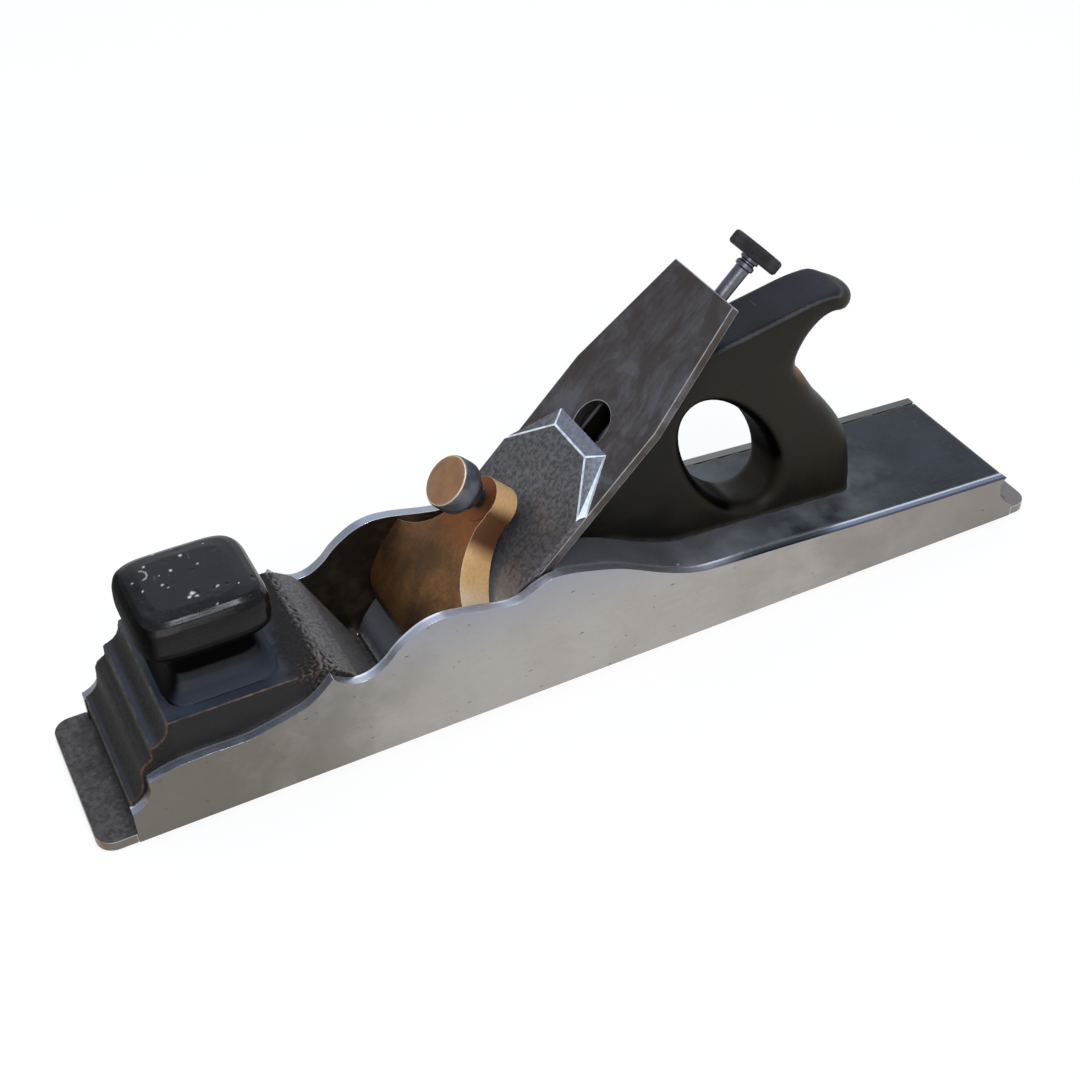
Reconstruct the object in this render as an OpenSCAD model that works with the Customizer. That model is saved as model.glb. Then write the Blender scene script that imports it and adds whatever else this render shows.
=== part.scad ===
// Infill jointer plane with a closed handle and a screw adjuster.
// Toe towards -X, heel towards +X, sole on Z = 0, all sizes in millimetres.

/* [Sole] */
// Length of the sole from toe edge to heel edge
plane_len = 444.5; // [430:0.5:470]
// Width over the two sides
plane_w = 74; // [70:0.5:82]
// Thickness of the sole
sole_t = 4.8; // [4:0.1:6]
// Radius of the sole's four corners
sole_corner_r = 7.5; // [3:0.5:9]
// Distance from the toe edge to the front ends of the sides
toe_ledge = 15; // [13:0.5:19]
// Distance from the heel edge to the rear ends of the sides
heel_ledge = 11; // [9:0.5:15]
// Distance from the toe edge to the cutting edge
mouth_from_toe = 131.8; // [129:0.2:136]
// Gap between the cutting edge and the front of the mouth
mouth_gap = 1.1; // [0.9:0.1:2]

/* [Sides] */
// Thickness of each side
side_t = 4.5; // [3.5:0.1:5.5]
// Narrow width of a dovetail
tail_w = 12; // [8:0.5:15]
// Widening of a dovetail on each side
tail_flare = 1.6; // [0.8:0.1:2.4]
// Distance between dovetails
tail_pitch = 29; // [24:0.5:36]
// Thickness of the tongue that joins the two soles
tongue_t = 1.6; // [1.2:0.1:2.2]
// Length of that tongue
tongue_l = 3; // [2:0.5:5]

/* [Front infill] */
// Height of the front deck above the floor
deck_h = 50; // [48:0.5:54]
// Distance from the toe edge to the front edge of the deck
deck_front = 35.5; // [34:0.5:38]
// Distance from the toe edge to the rear edge of the deck
deck_rear = 97; // [95:0.5:99]
// Thickness of the bun's cushion
bun_t = 19; // [15:0.5:21]
// Width of the bun's cushion across the plane
bun_w = 50; // [44:0.5:56]
// Length of the bun's cushion along the plane
bun_l = 53; // [46:0.5:57]
// Distance from the toe edge to the middle of the cushion
bun_at = 59.5; // [58:0.5:62]
// Height of the coved neck below the cushion
neck_h = 18; // [15:0.5:22]
// Width of the neck where it is narrowest
neck_w = 35; // [30:0.5:42]
// Width of the neck where it meets the deck
neck_foot_w = 56; // [50:0.5:60]
// Length of the neck's foot on the deck, along the plane
neck_foot_l = 46; // [42:0.5:48]

/* [Iron] */
// Angle of the bed
bed_angle = 45; // [44:0.5:47]
// Thickness of the cutting iron
iron_t = 4; // [3:0.1:4.8]
// Length of the cutting iron
iron_len = 211.4; // [195:0.5:225]
// Gap between the iron and each side
iron_side_gap = 0.75; // [0.6:0.05:1.5]
// Distance from the cutting edge to the kink in the outline
iron_kink = 155; // [145:1:170]
// Width of the iron at its top end
iron_top_w = 43; // [36:0.5:52]
// Angle of the ground bevel
grind_angle = 27; // [22:1:32]
// Width of the slot in the iron
slot_w = 11; // [10:0.5:13]
// Distance from the cutting edge to the slot's lower end
slot_low = 50; // [44:1:58]
// Distance from the cutting edge to the centre of the slot's round end
slot_high = 139.6; // [136:0.2:143]
// Radius of the slot's round end
slot_eye_r = 10.1; // [9:0.1:11]
// Height of the cutting edge above the floor
edge_rest = 0.15; // [0.05:0.05:0.4]

/* [Cap iron] */
// Thickness of the cap iron
cap_t = 3.2; // [2.6:0.1:4]
// Length of the cap iron
cap_len = 133.3; // [131:0.1:134]
// Distance from the cutting edge to the cap iron's nose
cap_setback = 1.8; // [1.6:0.1:3]
// Width of the cap iron's top edge
cap_top_w = 37.6; // [30:0.2:46]
// Length of the clipped corner, measured along the iron
cap_clip = 22.5; // [16:0.5:28]
// Width of the chamfer round the top
cap_chamfer = 6.2; // [4:0.1:8]
// Height of the hump above the flat of the cap iron
cap_hump = 1.5; // [1:0.1:2]
// Distance from the cutting edge to the cap iron screw
cap_screw_at = 80; // [78:0.5:82]
// Radius of the cap iron screw's shank
cap_screw_r = 4; // [3.5:0.1:4.6]
// Radius of the cap iron screw's head
cap_head_r = 7.5; // [7:0.1:7.8]
// Thickness of that head
cap_head_t = 4.6; // [4:0.1:4.8]

/* [Lever cap] */
// Thickness of the lever cap at its boss
lever_t = 12; // [11:0.2:13]
// Height of the lever cap's front face above the iron
lever_face = 22; // [21.6:0.1:22.8]
// Distance from the cutting edge to the lever cap's lower end
lever_low = 22; // [21.6:0.1:23]
// Distance from the cutting edge to the widest points
lever_shoulder = 56.3; // [54:0.1:58]
// Distance from the cutting edge to the screw's axis
lever_screw_at = 90; // [88:0.2:92]
// Radius of the rounded boss at the top
lever_boss_r = 9.6; // [8.4:0.1:10.4]
// Half width of the neck below the boss
lever_neck = 9.3; // [8:0.1:9.6]
// Gap between the lever cap and each side
lever_side_gap = 0.3; // [0.2:0.05:0.8]
// Distance from the cutting edge to the pins
pin_at = 48; // [46:0.5:50]
// Height of the pins above the iron
pin_up = 13; // [12:0.2:14]
// Radius of the pins
pin_r = 3.2; // [2.6:0.1:3.8]
// Depth of each pin in the lever cap
pin_depth = 9; // [6:0.5:12]
// Radius of the lever cap screw
screw_r = 4; // [3.4:0.1:4.6]
// Radius of the screw's knurled head
knob_r = 11.3; // [9.5:0.1:12]
// Thickness of that head
knob_t = 9.8; // [8:0.1:12]
// Height of the head's flat face above the iron
knob_face = 42.2; // [40:0.1:45]
// Radius of the collar under the head
collar_r = 7.1; // [6:0.1:8]
// Length of that collar
collar_t = 4.4; // [3:0.1:5]

/* [Adjuster] */
// Depth of the spindle's axis below the iron's front face
spindle_down = 12; // [11.8:0.1:12.4]
// Radius of the spindle
spindle_r = 3.2; // [3:0.05:3.4]
// Radius of the spindle's lower, finer thread
fine_r = 2.5; // [2.2:0.05:2.6]
// Distance from the cutting edge to the swivel's axis
swivel_at = 118; // [117:0.5:119]
// Radius of the swivel
swivel_r = 8; // [7.4:0.1:8.4]
// Radius of the swivel's pivot
pivot_r = 4; // [3.4:0.1:4.6]
// Depth of that pivot in the plate
pivot_l = 6; // [5:0.5:7]
// Distance from the cutting edge to the middle of the adjuster knob
wheel_at = 233; // [230:0.2:238]
// Radius of the adjuster knob
wheel_r = 11.6; // [10:0.2:13]
// Thickness of the adjuster knob
wheel_t = 6.3; // [5:0.1:7]
// Radius of the collar under the knob
spindle_collar_r = 4.1; // [3.8:0.1:4.8]
// Length of that collar
spindle_collar_l = 5; // [4.5:0.1:7]
// Pitch of the spindle's coarse thread
coarse_pitch = 1.27; // [1:0.01:1.6]
// Pitch of the spindle's fine thread
fine_pitch = 0.794; // [0.6:0.01:1]
// Thickness of the adjuster plate
plate_t = 3; // [2.4:0.1:3.6]
// Width of the adjuster plate
plate_w = 13; // [11:0.5:14]
// Distance from the cutting edge to the plate's upper end
plate_high = 160; // [154:1:163]
// Radius of the plate screws' heads
plate_screw_r = 4; // [3:0.1:4.5]

/* [Handle] */
// Thickness of the handle
tote_w = 26; // [24.5:0.5:30]
// Height of the horn above the floor
horn_h = 134; // [130:0.5:140]
// Distance from the cutting edge back to the horn's end
horn_back = 219.7; // [217:0.1:226]
// Distance from the cutting edge back to the narrowest part of the grip
grip_back = 193.5; // [191:0.5:198]
// Distance from the cutting edge back to the end of the handle's foot
foot_back = 227.6; // [225:0.1:233]
// Rounding of the grip's and the foot's edges
grip_round = 9; // [7:0.5:11]
// Rounding of the horn's top edges
horn_round = 1.8; // [1.5:0.1:4]
// Height of the finger hole, measured along its slant
hole_len = 71.5; // [66:0.5:73]
// Width of the finger hole
hole_w = 35; // [30:0.5:36]

/* [Fastenings] */
// Radius of the infill rivets
rivet_r = 2; // [1.5:0.1:2.6]
// Height of those rivets above the floor
rivet_up = 14; // [12:0.5:16]
// Places of the front infill's rivets, as shares of the way from the toe to the cutting edge
front_rivet_shares = [0.379, 0.698];
// Places of the rear infill's rivets, as shares of the way from the cutting edge to the heel
rear_rivet_shares = [0.217, 0.416, 0.64, 0.851];
// Distance from the mouth block's rear face to its rivets
block_rivet_in = 7; // [6:0.5:9]
// Radius of the mouth block's rivets
block_rivet_r = 2.4; // [1.8:0.1:3]
// Length of the mouth block along the sole
block_l = 31; // [28:0.5:33]

/* [Clearances] */
// Radial clearance of turning and sliding fits
run_fit = 0.05; // [0.02:0.01:0.09]
// Radial clearance of fixed pins and screws in their holes
fixed_fit = 0.02; // [0.01:0.01:0.04]
// Gap between flat faces that slide on each other
slide_gap = 0.06; // [0.04:0.01:0.12]
// Clearance beside the adjuster's parts in the wood
recess_gap = 0.4; // [0.3:0.05:0.8]
// Largest swing of the adjuster to each side, in degrees
swing_max = 0.85; // [0.4:0.05:1]
// Farthest that the iron is fed forward
feed_out = 0.95; // [0.5:0.05:1]
// Farthest that the iron is drawn back
feed_back = 3.8; // [2:0.1:4]

/* [Hidden] */

steel = [0.55, 0.54, 0.52];
dark_steel = [0.27, 0.26, 0.26];
wood = [0.10, 0.10, 0.11];
gunmetal = [0.60, 0.42, 0.20];
copper = [0.50, 0.37, 0.27];

toe_x = -plane_len / 2;
heel_x = plane_len / 2;
mouth_x = toe_x + mouth_from_toe;
mouth_front_x = mouth_x - mouth_gap;
side_toe_x = toe_x + toe_ledge;
side_heel_x = heel_x - heel_ledge;
inner_w = plane_w - 2 * side_t;
iron_w = inner_w - 2 * iron_side_gap;
lever_w = inner_w - 2 * lever_side_gap;
small = 0.01;

// The iron's own frame: X runs up the bed from the sole, Z out of the iron's front face.
module bed() translate([mouth_x, 0, 0]) rotate([0, -bed_angle, 0]) children();
function bed_to_x(s, w) = mouth_x + s * cos(bed_angle) - w * sin(bed_angle);
function bed_to_z(s, w) = s * sin(bed_angle) + w * cos(bed_angle);
// Height, at a place along the plane, of a face that lies w above the iron's front face
function bed_height(x, w) = (x - mouth_x) * tan(bed_angle) + w / cos(bed_angle);
function bed_place(z, w) = mouth_x + (z - w / cos(bed_angle)) / tan(bed_angle);
seat_w = -iron_t - slide_gap;
edge_s = edge_rest / sin(bed_angle);

// Smooth curve through points, with so many steps a span
function knot(p, i) = i < 0 ? 2 * p[0] - p[1]
  : i >= len(p) ? 2 * p[len(p) - 1] - p[len(p) - 2] : p[i];
function blend(a, b, c, d, t) = 0.5 * (2 * b + (c - a) * t
  + (2 * a - 5 * b + 4 * c - d) * t * t + (3 * b - a - 3 * c + d) * t * t * t);
function curve(p, n) = concat([for (i = [0:len(p) - 2]) for (k = [0:n - 1])
  blend(knot(p, i - 1), p[i], p[i + 1], knot(p, i + 2), k / n)], [p[len(p) - 1]]);
function ring(p, n) = [for (i = [0:len(p) - 1]) for (k = [0:n - 1])
  let (m = len(p)) blend(p[(i + m - 1) % m], p[i], p[(i + 1) % m], p[(i + 2) % m], k / n)];
// Arc-like bow from one point to another, bulging to the left of the way by h
function bow(a, b, h, n) = let (d = b - a, s = [-d[1], d[0]] / norm(d))
  [for (i = [0:n]) a + d * i / n + s * 4 * h * (i / n) * (1 - i / n)];

// Solid through a stack of rings with the same number of points
module loft(rings) {
  n = len(rings[0]);
  m = len(rings);
  polyhedron(points = [for (r = rings) each r],
    faces = concat([[for (i = [0:n - 1]) i]],
      [for (k = [0:m - 2]) for (i = [0:n - 1]) let (j = (i + 1) % n)
        each [[k * n + i, (k + 1) * n + i, (k + 1) * n + j],
          [k * n + i, (k + 1) * n + j, k * n + j]]],
      [[for (i = [n - 1:-1:0]) (m - 1) * n + i]]));
}

// Plate in the upright plane along the plane's length, between two Y places
module upright(y0, y1) translate([0, y1, 0]) rotate([90, 0, 0]) linear_extrude(y1 - y0) children();

// Outline of the sides: front end, top edge with its two humps, heel end
side_front = [[side_toe_x, 0], [side_toe_x, 15.5], each bow([side_toe_x + 1.4, 15.8],
  [side_toe_x + 8.3, 27.5], -2.6, 6), [side_toe_x + 8.7, 28.6]];
toe_top = [[23.7, 28.6], [30, 30.6], [38, 31.9], [50, 32.2], [62, 31.9], [72, 33.6],
  [81, 35.8], [88, 38], [94, 42.4], [99, 47.4]];
throat_top = [[-32.6, 47.4], [-30, 44.4], [-25.5, 41.6], [-20.8, 40.6], [-15.5, 41.8], [-10, 45.4],
  [-5.5, 50], [0, 54], [6, 57], [13, 58.3], [20, 57.7], [27, 56.2], [36, 54], [43.5, 52.7],
  [49.5, 53.9], [55.5, 57], [62, 59], [71, 58.2], [84, 54.6], [93, 51.5], [101, 47.6],
  [110, 42.8], [120, 38.2], [128, 35.4], [136, 33.8], [152, 32.6]];
heel_corner = [heel_x - 17, 24];
side_top = concat(
  curve([for (p = toe_top) [toe_x + p[0] + toe_ledge - 15, p[1]]], 3),
  curve([for (p = throat_top) [mouth_x + p[0], p[1]]], 4),
  curve([[mouth_x + 172, 31.4], [mouth_x + 213, 28.4], [heel_x - 62, 26.2],
    heel_corner], 2));
side_rear = concat(curve([[heel_x - 18.2, 22.9], [heel_x - 19.4, 19.5], [heel_x - 18.6, 14.6],
  [heel_x - 15.4, 10.2], [side_heel_x - 0.8, 7.2]], 3), [[side_heel_x, 6.5], [side_heel_x, 0]]);

// Dovetails: places of the toe sole's and the heel sole's tails
joint_x = mouth_x + 3;
function tails(x0, x1) = let (n = max(1, floor((x1 - x0) / tail_pitch)))
  [for (i = [0:n - 1]) x0 + (i + 0.5) * (x1 - x0) / n];
toe_tails = tails(side_toe_x + 2, joint_x - tail_w - 2 * tail_flare);
heel_tails = tails(joint_x + tail_w + 2 * tail_flare, side_heel_x - 2);
module tail(x) upright(-plane_w / 2, plane_w / 2)
  translate([x, 0]) polygon([[-tail_w / 2, 0], [tail_w / 2, 0],
    [tail_w / 2 + tail_flare, sole_t], [-tail_w / 2 - tail_flare, sole_t]]);
module joint_tail(side) upright(-plane_w / 2, plane_w / 2)
  polygon([[joint_x, 0], [joint_x + side * tail_w, 0],
    [joint_x + side * (tail_w + tail_flare), sole_t], [joint_x, sole_t]]);
module tongue() for (side = [0, 1]) mirror([0, side, 0])
  translate([joint_x - small, inner_w / 2, (sole_t - tongue_t) / 2]) cube([tongue_l + small, side_t, tongue_t]);

// Plan of a sole: full width beyond the sides' ends, with rounded corners
module sole_plan(x0, end_x, end_side) {
  ledge = ledge_x(end_side);
  x = end_x + end_side * sole_corner_r;
  y = plane_w / 2 - sole_corner_r;
  turn = end_side > 0 ? 90 : -90;
  translate([min(x0, x), -inner_w / 2, 0]) cube([abs(x0 - x), inner_w, sole_t]);
  linear_extrude(sole_t)
    polygon(concat([[ledge, plane_w / 2]], arc(x, y, sole_corner_r, 90, 90 + turn, 10),
      arc(x, -y, sole_corner_r, 90 + turn, 90 + 2 * turn, 10), [[ledge, -plane_w / 2]]));
}
function ledge_x(end_side) = end_side > 0 ? side_toe_x : side_heel_x;

module throat_cut() translate([mouth_front_x, -inner_w / 2, -1])
  cube([joint_x + 50 - mouth_front_x, inner_w, sole_t + 2]);

module toe_sole() color(steel) {
  difference() {
    union() {
      sole_plan(mouth_front_x, toe_x, 1);
      for (x = toe_tails) tail(x);
      joint_tail(-1);
      tongue();
    }
    throat_cut();
  }
}

module heel_sole() color(steel) difference() {
  union() {
    sole_plan(mouth_x, heel_x, -1);
    for (x = heel_tails) tail(x);
    joint_tail(1);
  }
  tongue();
  // Bevelled rear wall of the mouth, in line with the bed
  translate([0, -inner_w / 2, 0]) rotate([90, 0, 0]) mirror([0, 0, 1]) linear_extrude(inner_w)
    polygon([[mouth_x - 1, -1], [bed_place(-1, seat_w), -1], [bed_place(sole_t + 1, seat_w), sole_t + 1],
      [mouth_x - 1, sole_t + 1]]);
  for (x = block_rivets) translate([x, 0, 0]) for (y = block_rivet_ys)
    translate([0, y, -1]) cylinder(r = block_rivet_r + fixed_fit, h = sole_t + 2, $fn = 32);
}

// Places of the fastenings
pin_x = bed_to_x(pin_at, pin_up);
pin_z = bed_to_z(pin_at, pin_up);
front_rivets = [for (share = front_rivet_shares) [toe_x + share * mouth_from_toe, rivet_up]];
rear_rivets = [for (share = rear_rivet_shares) [mouth_x + share * (heel_x - mouth_x), rivet_up]];
block_rivets = [mouth_x + block_l - block_rivet_in];
block_rivet_ys = [-inner_w / 4, inner_w / 4];

module side(y0, y1) color(steel) difference() {
  upright(y0, y1) polygon(concat(side_front, side_top, side_rear));
  for (x = concat(toe_tails, heel_tails)) tail(x);
  joint_tail(-1);
  joint_tail(1);
  rivet_holes(concat(front_rivets, rear_rivets));
  translate([pin_x, 0, pin_z]) rotate([90, 0, 0])
    cylinder(r = pin_r + fixed_fit, h = plane_w + 2, center = true, $fn = 48);
}
module left_side() side(-plane_w / 2, -inner_w / 2);
module right_side() side(inner_w / 2, plane_w / 2);

block_x = mouth_x + block_l;
module mouth_block() color(dark_steel) difference() {
  upright(-inner_w / 2, inner_w / 2) polygon([[bed_place(sole_t, seat_w), sole_t], [block_x, sole_t],
    [block_x, bed_height(block_x, seat_w)]]);
  for (x = block_rivets) for (y = block_rivet_ys) translate([x, y, sole_t - 1])
    cylinder(r = block_rivet_r + fixed_fit, h = block_rivet_h + 1, $fn = 32);
}
block_rivet_h = 7;
module mouth_block_rivets() color(steel) for (x = block_rivets) for (y = block_rivet_ys)
  translate([x, y, 0]) cylinder(r = block_rivet_r, h = sole_t + block_rivet_h, $fn = 32);

// Front infill: three stepped coves at the toe, flat deck, slope down to the mouth
slope_foot = mouth_x - 3.4;
front_profile = concat(
  [[side_toe_x + 0.4, sole_t], [side_toe_x + 0.4, 16.4]],
  bow([side_toe_x + 0.9, 17], [side_toe_x + 6.7, 25], -1.6, 5),
  [[side_toe_x + 7, 28]],
  bow([side_toe_x + 7, 29.4], [side_toe_x + 10.6, 34.4], 0.9, 4),
  [[side_toe_x + 12, 35.6], [side_toe_x + 12.2, 39.6]],
  bow([side_toe_x + 12.8, 40.4], [toe_x + deck_front - 0.6, deck_h - 1], -2, 6),
  [[toe_x + deck_front, deck_h], [toe_x + deck_rear, deck_h]],
  bow([toe_x + deck_rear, deck_h], [toe_x + deck_rear + 13.5, deck_h - 10], 1.2, 4),
  [[slope_foot, sole_t]]);
module front_infill() color(wood) difference() {
  upright(-inner_w / 2, inner_w / 2) polygon(front_profile);
  rivet_holes(front_rivets);
}

// Bun: square plan with round corners, a coved neck and a cushion on top
bun_x = toe_x + bun_at;
neck_back = 1.5;
function squircle(a, b, z, e) = [for (i = [0:47]) let (u = 360 * i / 48, c = cos(u), s = sin(u))
  [a * sign(c) * pow(abs(c), 2 / e), b * sign(s) * pow(abs(s), 2 / e), z]];
bun_base_z = deck_h;
cushion_z = bun_base_z + neck_h;
// Each row: share of the cushion's height, inset from its full size
cushion_rows = [[0, 4.4], [0.08, 2], [0.2, 0.5], [0.36, 0], [0.62, 0.2], [0.78, 1], [0.89, 2.6], [0.96, 5.2],
  [1, 10]];
// Each row: share of the neck's height, share of the flare from the neck to its foot
neck_rows = [[0, 1], [0.03, 0.93], [0.08, 0.74], [0.16, 0.52], [0.29, 0.28], [0.47, 0.09], [0.68, 0], [0.86, 0.1],
  [0.97, 0.34]];
function neck_half(foot, share) = (neck_w + (foot - neck_w) * share) / 2;
module front_bun() color(wood) translate([bun_x, 0, 0]) loft(concat(
  [for (r = neck_rows) [for (p = squircle(neck_half(neck_foot_l, r[1]), neck_half(neck_foot_w, r[1]),
    bun_base_z + r[0] * neck_h, 6)) p + [neck_back * (1 - r[0]), 0, 0]]],
  [for (r = cushion_rows) squircle(bun_l / 2 - r[1], bun_w / 2 - r[1], cushion_z + r[0] * bun_t, 5)]));

module rivets(places) color(steel) for (p = places) translate([p[0], 0, p[1]]) rotate([90, 0, 0])
  cylinder(r = rivet_r, h = plane_w, center = true, $fn = 32);
module front_infill_rivets() rivets(front_rivets);
module rear_infill_rivets() rivets(rear_rivets);
module rivet_holes(places) for (p = places) translate([p[0], 0, p[1]]) rotate([90, 0, 0])
  cylinder(r = rivet_r + fixed_fit, h = plane_w + 2, center = true, $fn = 32);

// Handle foot: the tenon that is let into the rear infill
foot_x = mouth_x + foot_back;
tenon_x = block_x;
tenon_h = 26;
function arc(x, y, r, a0, a1, n) = [for (i = [0:n]) let (a = a0 + (a1 - a0) * i / n)
  [x + r * cos(a), y + r * sin(a)]];
module tenon(gap, z0, z1) let (x = foot_x - grip_round, y = tote_w / 2 - grip_round, r = grip_round + gap)
  translate([0, 0, z0]) linear_extrude(z1 - z0) polygon(concat([[tenon_x - 20, -y - r]],
    arc(x, -y, r, -90, 0, 8), arc(x, y, r, 0, 90, 8), [[tenon_x - 20, y + r]]));
// Everything in front of the bed's face is cut away
module above_bed() bed() translate([-50, -plane_w, seat_w]) cube([400, 2 * plane_w, 200]);

module rear_infill() color(wood) difference() {
  upright(-inner_w / 2, inner_w / 2) polygon(concat([[block_x, sole_t], [block_x, 70]],
    [for (p = side_top) if (p[0] > block_x) p],
    [for (p = side_rear) if (p[1] > sole_t) p], [[side_heel_x, sole_t]]));
  above_bed();
  tenon(fixed_fit, sole_t - 1, 90);
  rivet_holes(rear_rivets);
}

// Handle outline in the middle plane. Each row is a place behind the cutting edge, a height, how far
// that point has moved at the handle's flat side, and how far in from that side the rounding starts.
tote_points = [[22, 18, 0, 0, 1], [40, 40, 0, 0, 1], [70, 70, 0, 0, 1], [100, 100, 0, 0, 1],
  [117, horn_h - 17, 0, -horn_round, horn_round], [140, horn_h - 12, 0, -horn_round, horn_round],
  [162, horn_h - 7.6, 0, -horn_round, horn_round], [182, horn_h - 3.6, 0, -horn_round, horn_round],
  [horn_back - 23, horn_h - 0.8, 0, -horn_round, horn_round],
  [horn_back - 11.5, horn_h, -1.5, -horn_round, 4], [horn_back - 6, horn_h - 1.2, -6.5, -1.6, tote_w / 2],
  [horn_back - 2, horn_h - 3.2, -10.5, -0.6, tote_w / 2], [horn_back, horn_h - 6.5, -12.4, 0.5, tote_w / 2],
  [horn_back - 1.7, horn_h - 10.4, -11.5, 3.2, tote_w / 2], [horn_back - 6, horn_h - 11.6, -9, 5.2, tote_w / 2],
  [horn_back - 11.5, horn_h - 12.2, -5.5, 7, 12.5], [horn_back - 17.5, horn_h - 15, -4.5, 8.5, 12],
  [grip_back + 3.4, 113.1, -7, 8, 11.5], [grip_back, 105.5, -10, 4, 11], [grip_back + 0.7, 99.9, -10.5, 0, 11],
  [grip_back + 5.1, 94, -9, -5, 11], [grip_back + 11.3, 84.4, -8, -5.5, 10.5],
  [grip_back + 18.2, 76.1, -7.5, -6, 10], [grip_back + 25.4, 65.7, -8, -5, 9.5],
  [foot_back - 3.3, 54.5, -8.7, -3, grip_round], [foot_back - 0.4, 38, -grip_round, -1, grip_round],
  [foot_back, 30, -grip_round, 0, grip_round], [foot_back - 1, 21, -grip_round + 0.5, 0, grip_round],
  [foot_back - 11, 13, -2, 1, 3], [190, 12, 0, 0, 1], [120, 12, 0, 0, 1], [60, 12, 0, 0, 1], [32, 13, 0, 0, 1]];
// Share of a point's move that is reached at a distance y from the middle plane
function rounding(r, y) = let (d = abs(y) - (tote_w / 2 - r)) d <= 0 ? 0 : 1 - sqrt(max(0, 1 - d * d / (r * r)));
half_shares = [0.2, 0.4, 0.57, 0.72, 0.84, 0.93, 0.98, 1];
layer_shares = concat([-1.05], [for (i = [len(half_shares) - 1:-1:0]) -half_shares[i]], [0], half_shares, [1.05]);
layer_step = 0.498 * tote_w;
tote_ring = ring([for (i = [len(tote_points) - 1:-1:0]) tote_points[i] + [mouth_x, 0, 0, 0, 0]], 3);
module tote_body() intersection() {
  rotate([90, 0, 0]) loft([for (q = layer_shares) let (y = min(abs(q), 1) * tote_w / 2)
    [for (p = tote_ring) let (k = rounding(p[4], y)) [p[0] + p[2] * k, p[1] + p[3] * k, q * layer_step]]]);
  translate([mouth_x - 50, -tote_w / 2, 0]) cube([400, tote_w, 300]);
}

// Finger hole: an egg whose long way slants back towards the foot
hole_centre = [159.6, 68];
hole_slant = -56;
hole_flare = 6;
module finger_hole() translate([mouth_x + hole_centre[0], 0, hole_centre[1]]) rotate([90, 0, 0])
  rotate([0, 0, hole_slant]) loft([for (q = layer_shares) let (y = min(abs(q), 1) * tote_w / 2,
    k = hole_flare * rounding(hole_flare, y), a = hole_len / 2 + k, b = hole_w / 2 + k)
    [for (i = [0:47]) let (u = 360 * i / 48) [a * cos(u), b * sin(u) * (1 + 0.03 * cos(u)), q * layer_step]]]);

// Recesses in the bed for the adjuster
carrier_half = 9;
carrier_low = cap_screw_at - 9;
carrier_high = cap_screw_at + 24;
carrier_back = spindle_down + 3.5;
swing_low = (swivel_at - carrier_low) * sin(swing_max);
recess_low = carrier_low - feed_out - recess_gap;
swivel_low = spindle_down + 5.5;
plate_face = swivel_low + slide_gap;
plate_back = plate_face + plate_t;
boss_r = pivot_r + 3.4;
boss_l = pivot_l + 1 - plate_t;
plate_low = swivel_at - 13;
module bed_box(s0, s1, half, w0, w1) translate([s0, -half, w0]) cube([s1 - s0, 2 * half, w1 - w0]);
module recesses() bed() {
  bed_box(recess_low, carrier_high + feed_back + recess_gap, carrier_half + swing_low + recess_gap,
    -carrier_back - recess_gap, 1);
  bed_box(carrier_high, wheel_at, plate_w / 2 + fixed_fit, -plate_back, 1);
  translate([swivel_at, 0, -plate_face]) cylinder(r = swivel_r + recess_gap, h = plate_face + 1, $fn = 64);
  translate([swivel_at, 0, -plate_back - boss_l])
    cylinder(r = boss_r + fixed_fit, h = boss_l + plate_t + 1, $fn = 64);
  for (s = plate_screws) translate([s, 0, -plate_back - plate_screw_l])
    cylinder(r = plate_screw_r / 2 + fixed_fit, h = plate_screw_l + 1, $fn = 32);
}

module tote() color(wood) difference() {
  union() {
    tote_body();
    tenon(-fixed_fit, sole_t, tenon_h);
  }
  translate([tenon_x - 100, -plane_w, 0]) cube([100, 2 * plane_w, tenon_h + 20]);
  finger_hole();
  above_bed();
  recesses();
  rivet_holes(rear_rivets);
}

// Cutting iron
module cutting_iron() color(dark_steel) bed() difference() {
  translate([0, 0, -iron_t]) linear_extrude(iron_t) difference() {
    polygon([[edge_s, -iron_w / 2], [iron_kink, -iron_w / 2], [iron_len, -iron_top_w / 2],
      [iron_len, iron_top_w / 2], [iron_kink, iron_w / 2], [edge_s, iron_w / 2]]);
    translate([slot_high, 0]) circle(slot_eye_r, $fn = 64);
    translate([slot_low + slot_w / 2, 0]) circle(slot_w / 2, $fn = 48);
    translate([slot_low + slot_w / 2, -slot_w / 2]) square([slot_high - slot_low - slot_w / 2, slot_w]);
  }
  // Bevel, ground on the back
  translate([edge_s, 0, 0]) rotate([0, grind_angle, 0]) translate([-10, -plane_w / 2, -40])
    cube([60, plane_w, 40]);
}

// Cap iron: sprung nose, flat plate, clipped and chamfered top corners
cap_nose = edge_s + cap_setback;
cap_top = cap_nose + cap_len;
cap_lift = slide_gap;
hump_at = 22.5;
hump_end = 40;
nose_profile = concat(
  curve([[cap_nose, cap_lift], [cap_nose + 3.5, 2], [cap_nose + 9, cap_t + 0.3 * cap_hump],
    [cap_nose + 15.5, cap_t + cap_lift + 0.82 * cap_hump], [cap_nose + hump_at, cap_t + cap_lift + cap_hump],
    [cap_nose + 30, cap_t + cap_lift + 0.7 * cap_hump], [cap_nose + hump_end, cap_t + cap_lift]], 4),
  [[80, cap_t + cap_lift], [80, cap_lift], [cap_nose + hump_end - 2, cap_lift]],
  curve([[cap_nose + hump_end - 5, cap_lift + 0.1], [cap_nose + hump_at, 1.5], [cap_nose + 10, 1.1],
    [cap_nose + 2, cap_lift]], 3));
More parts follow.
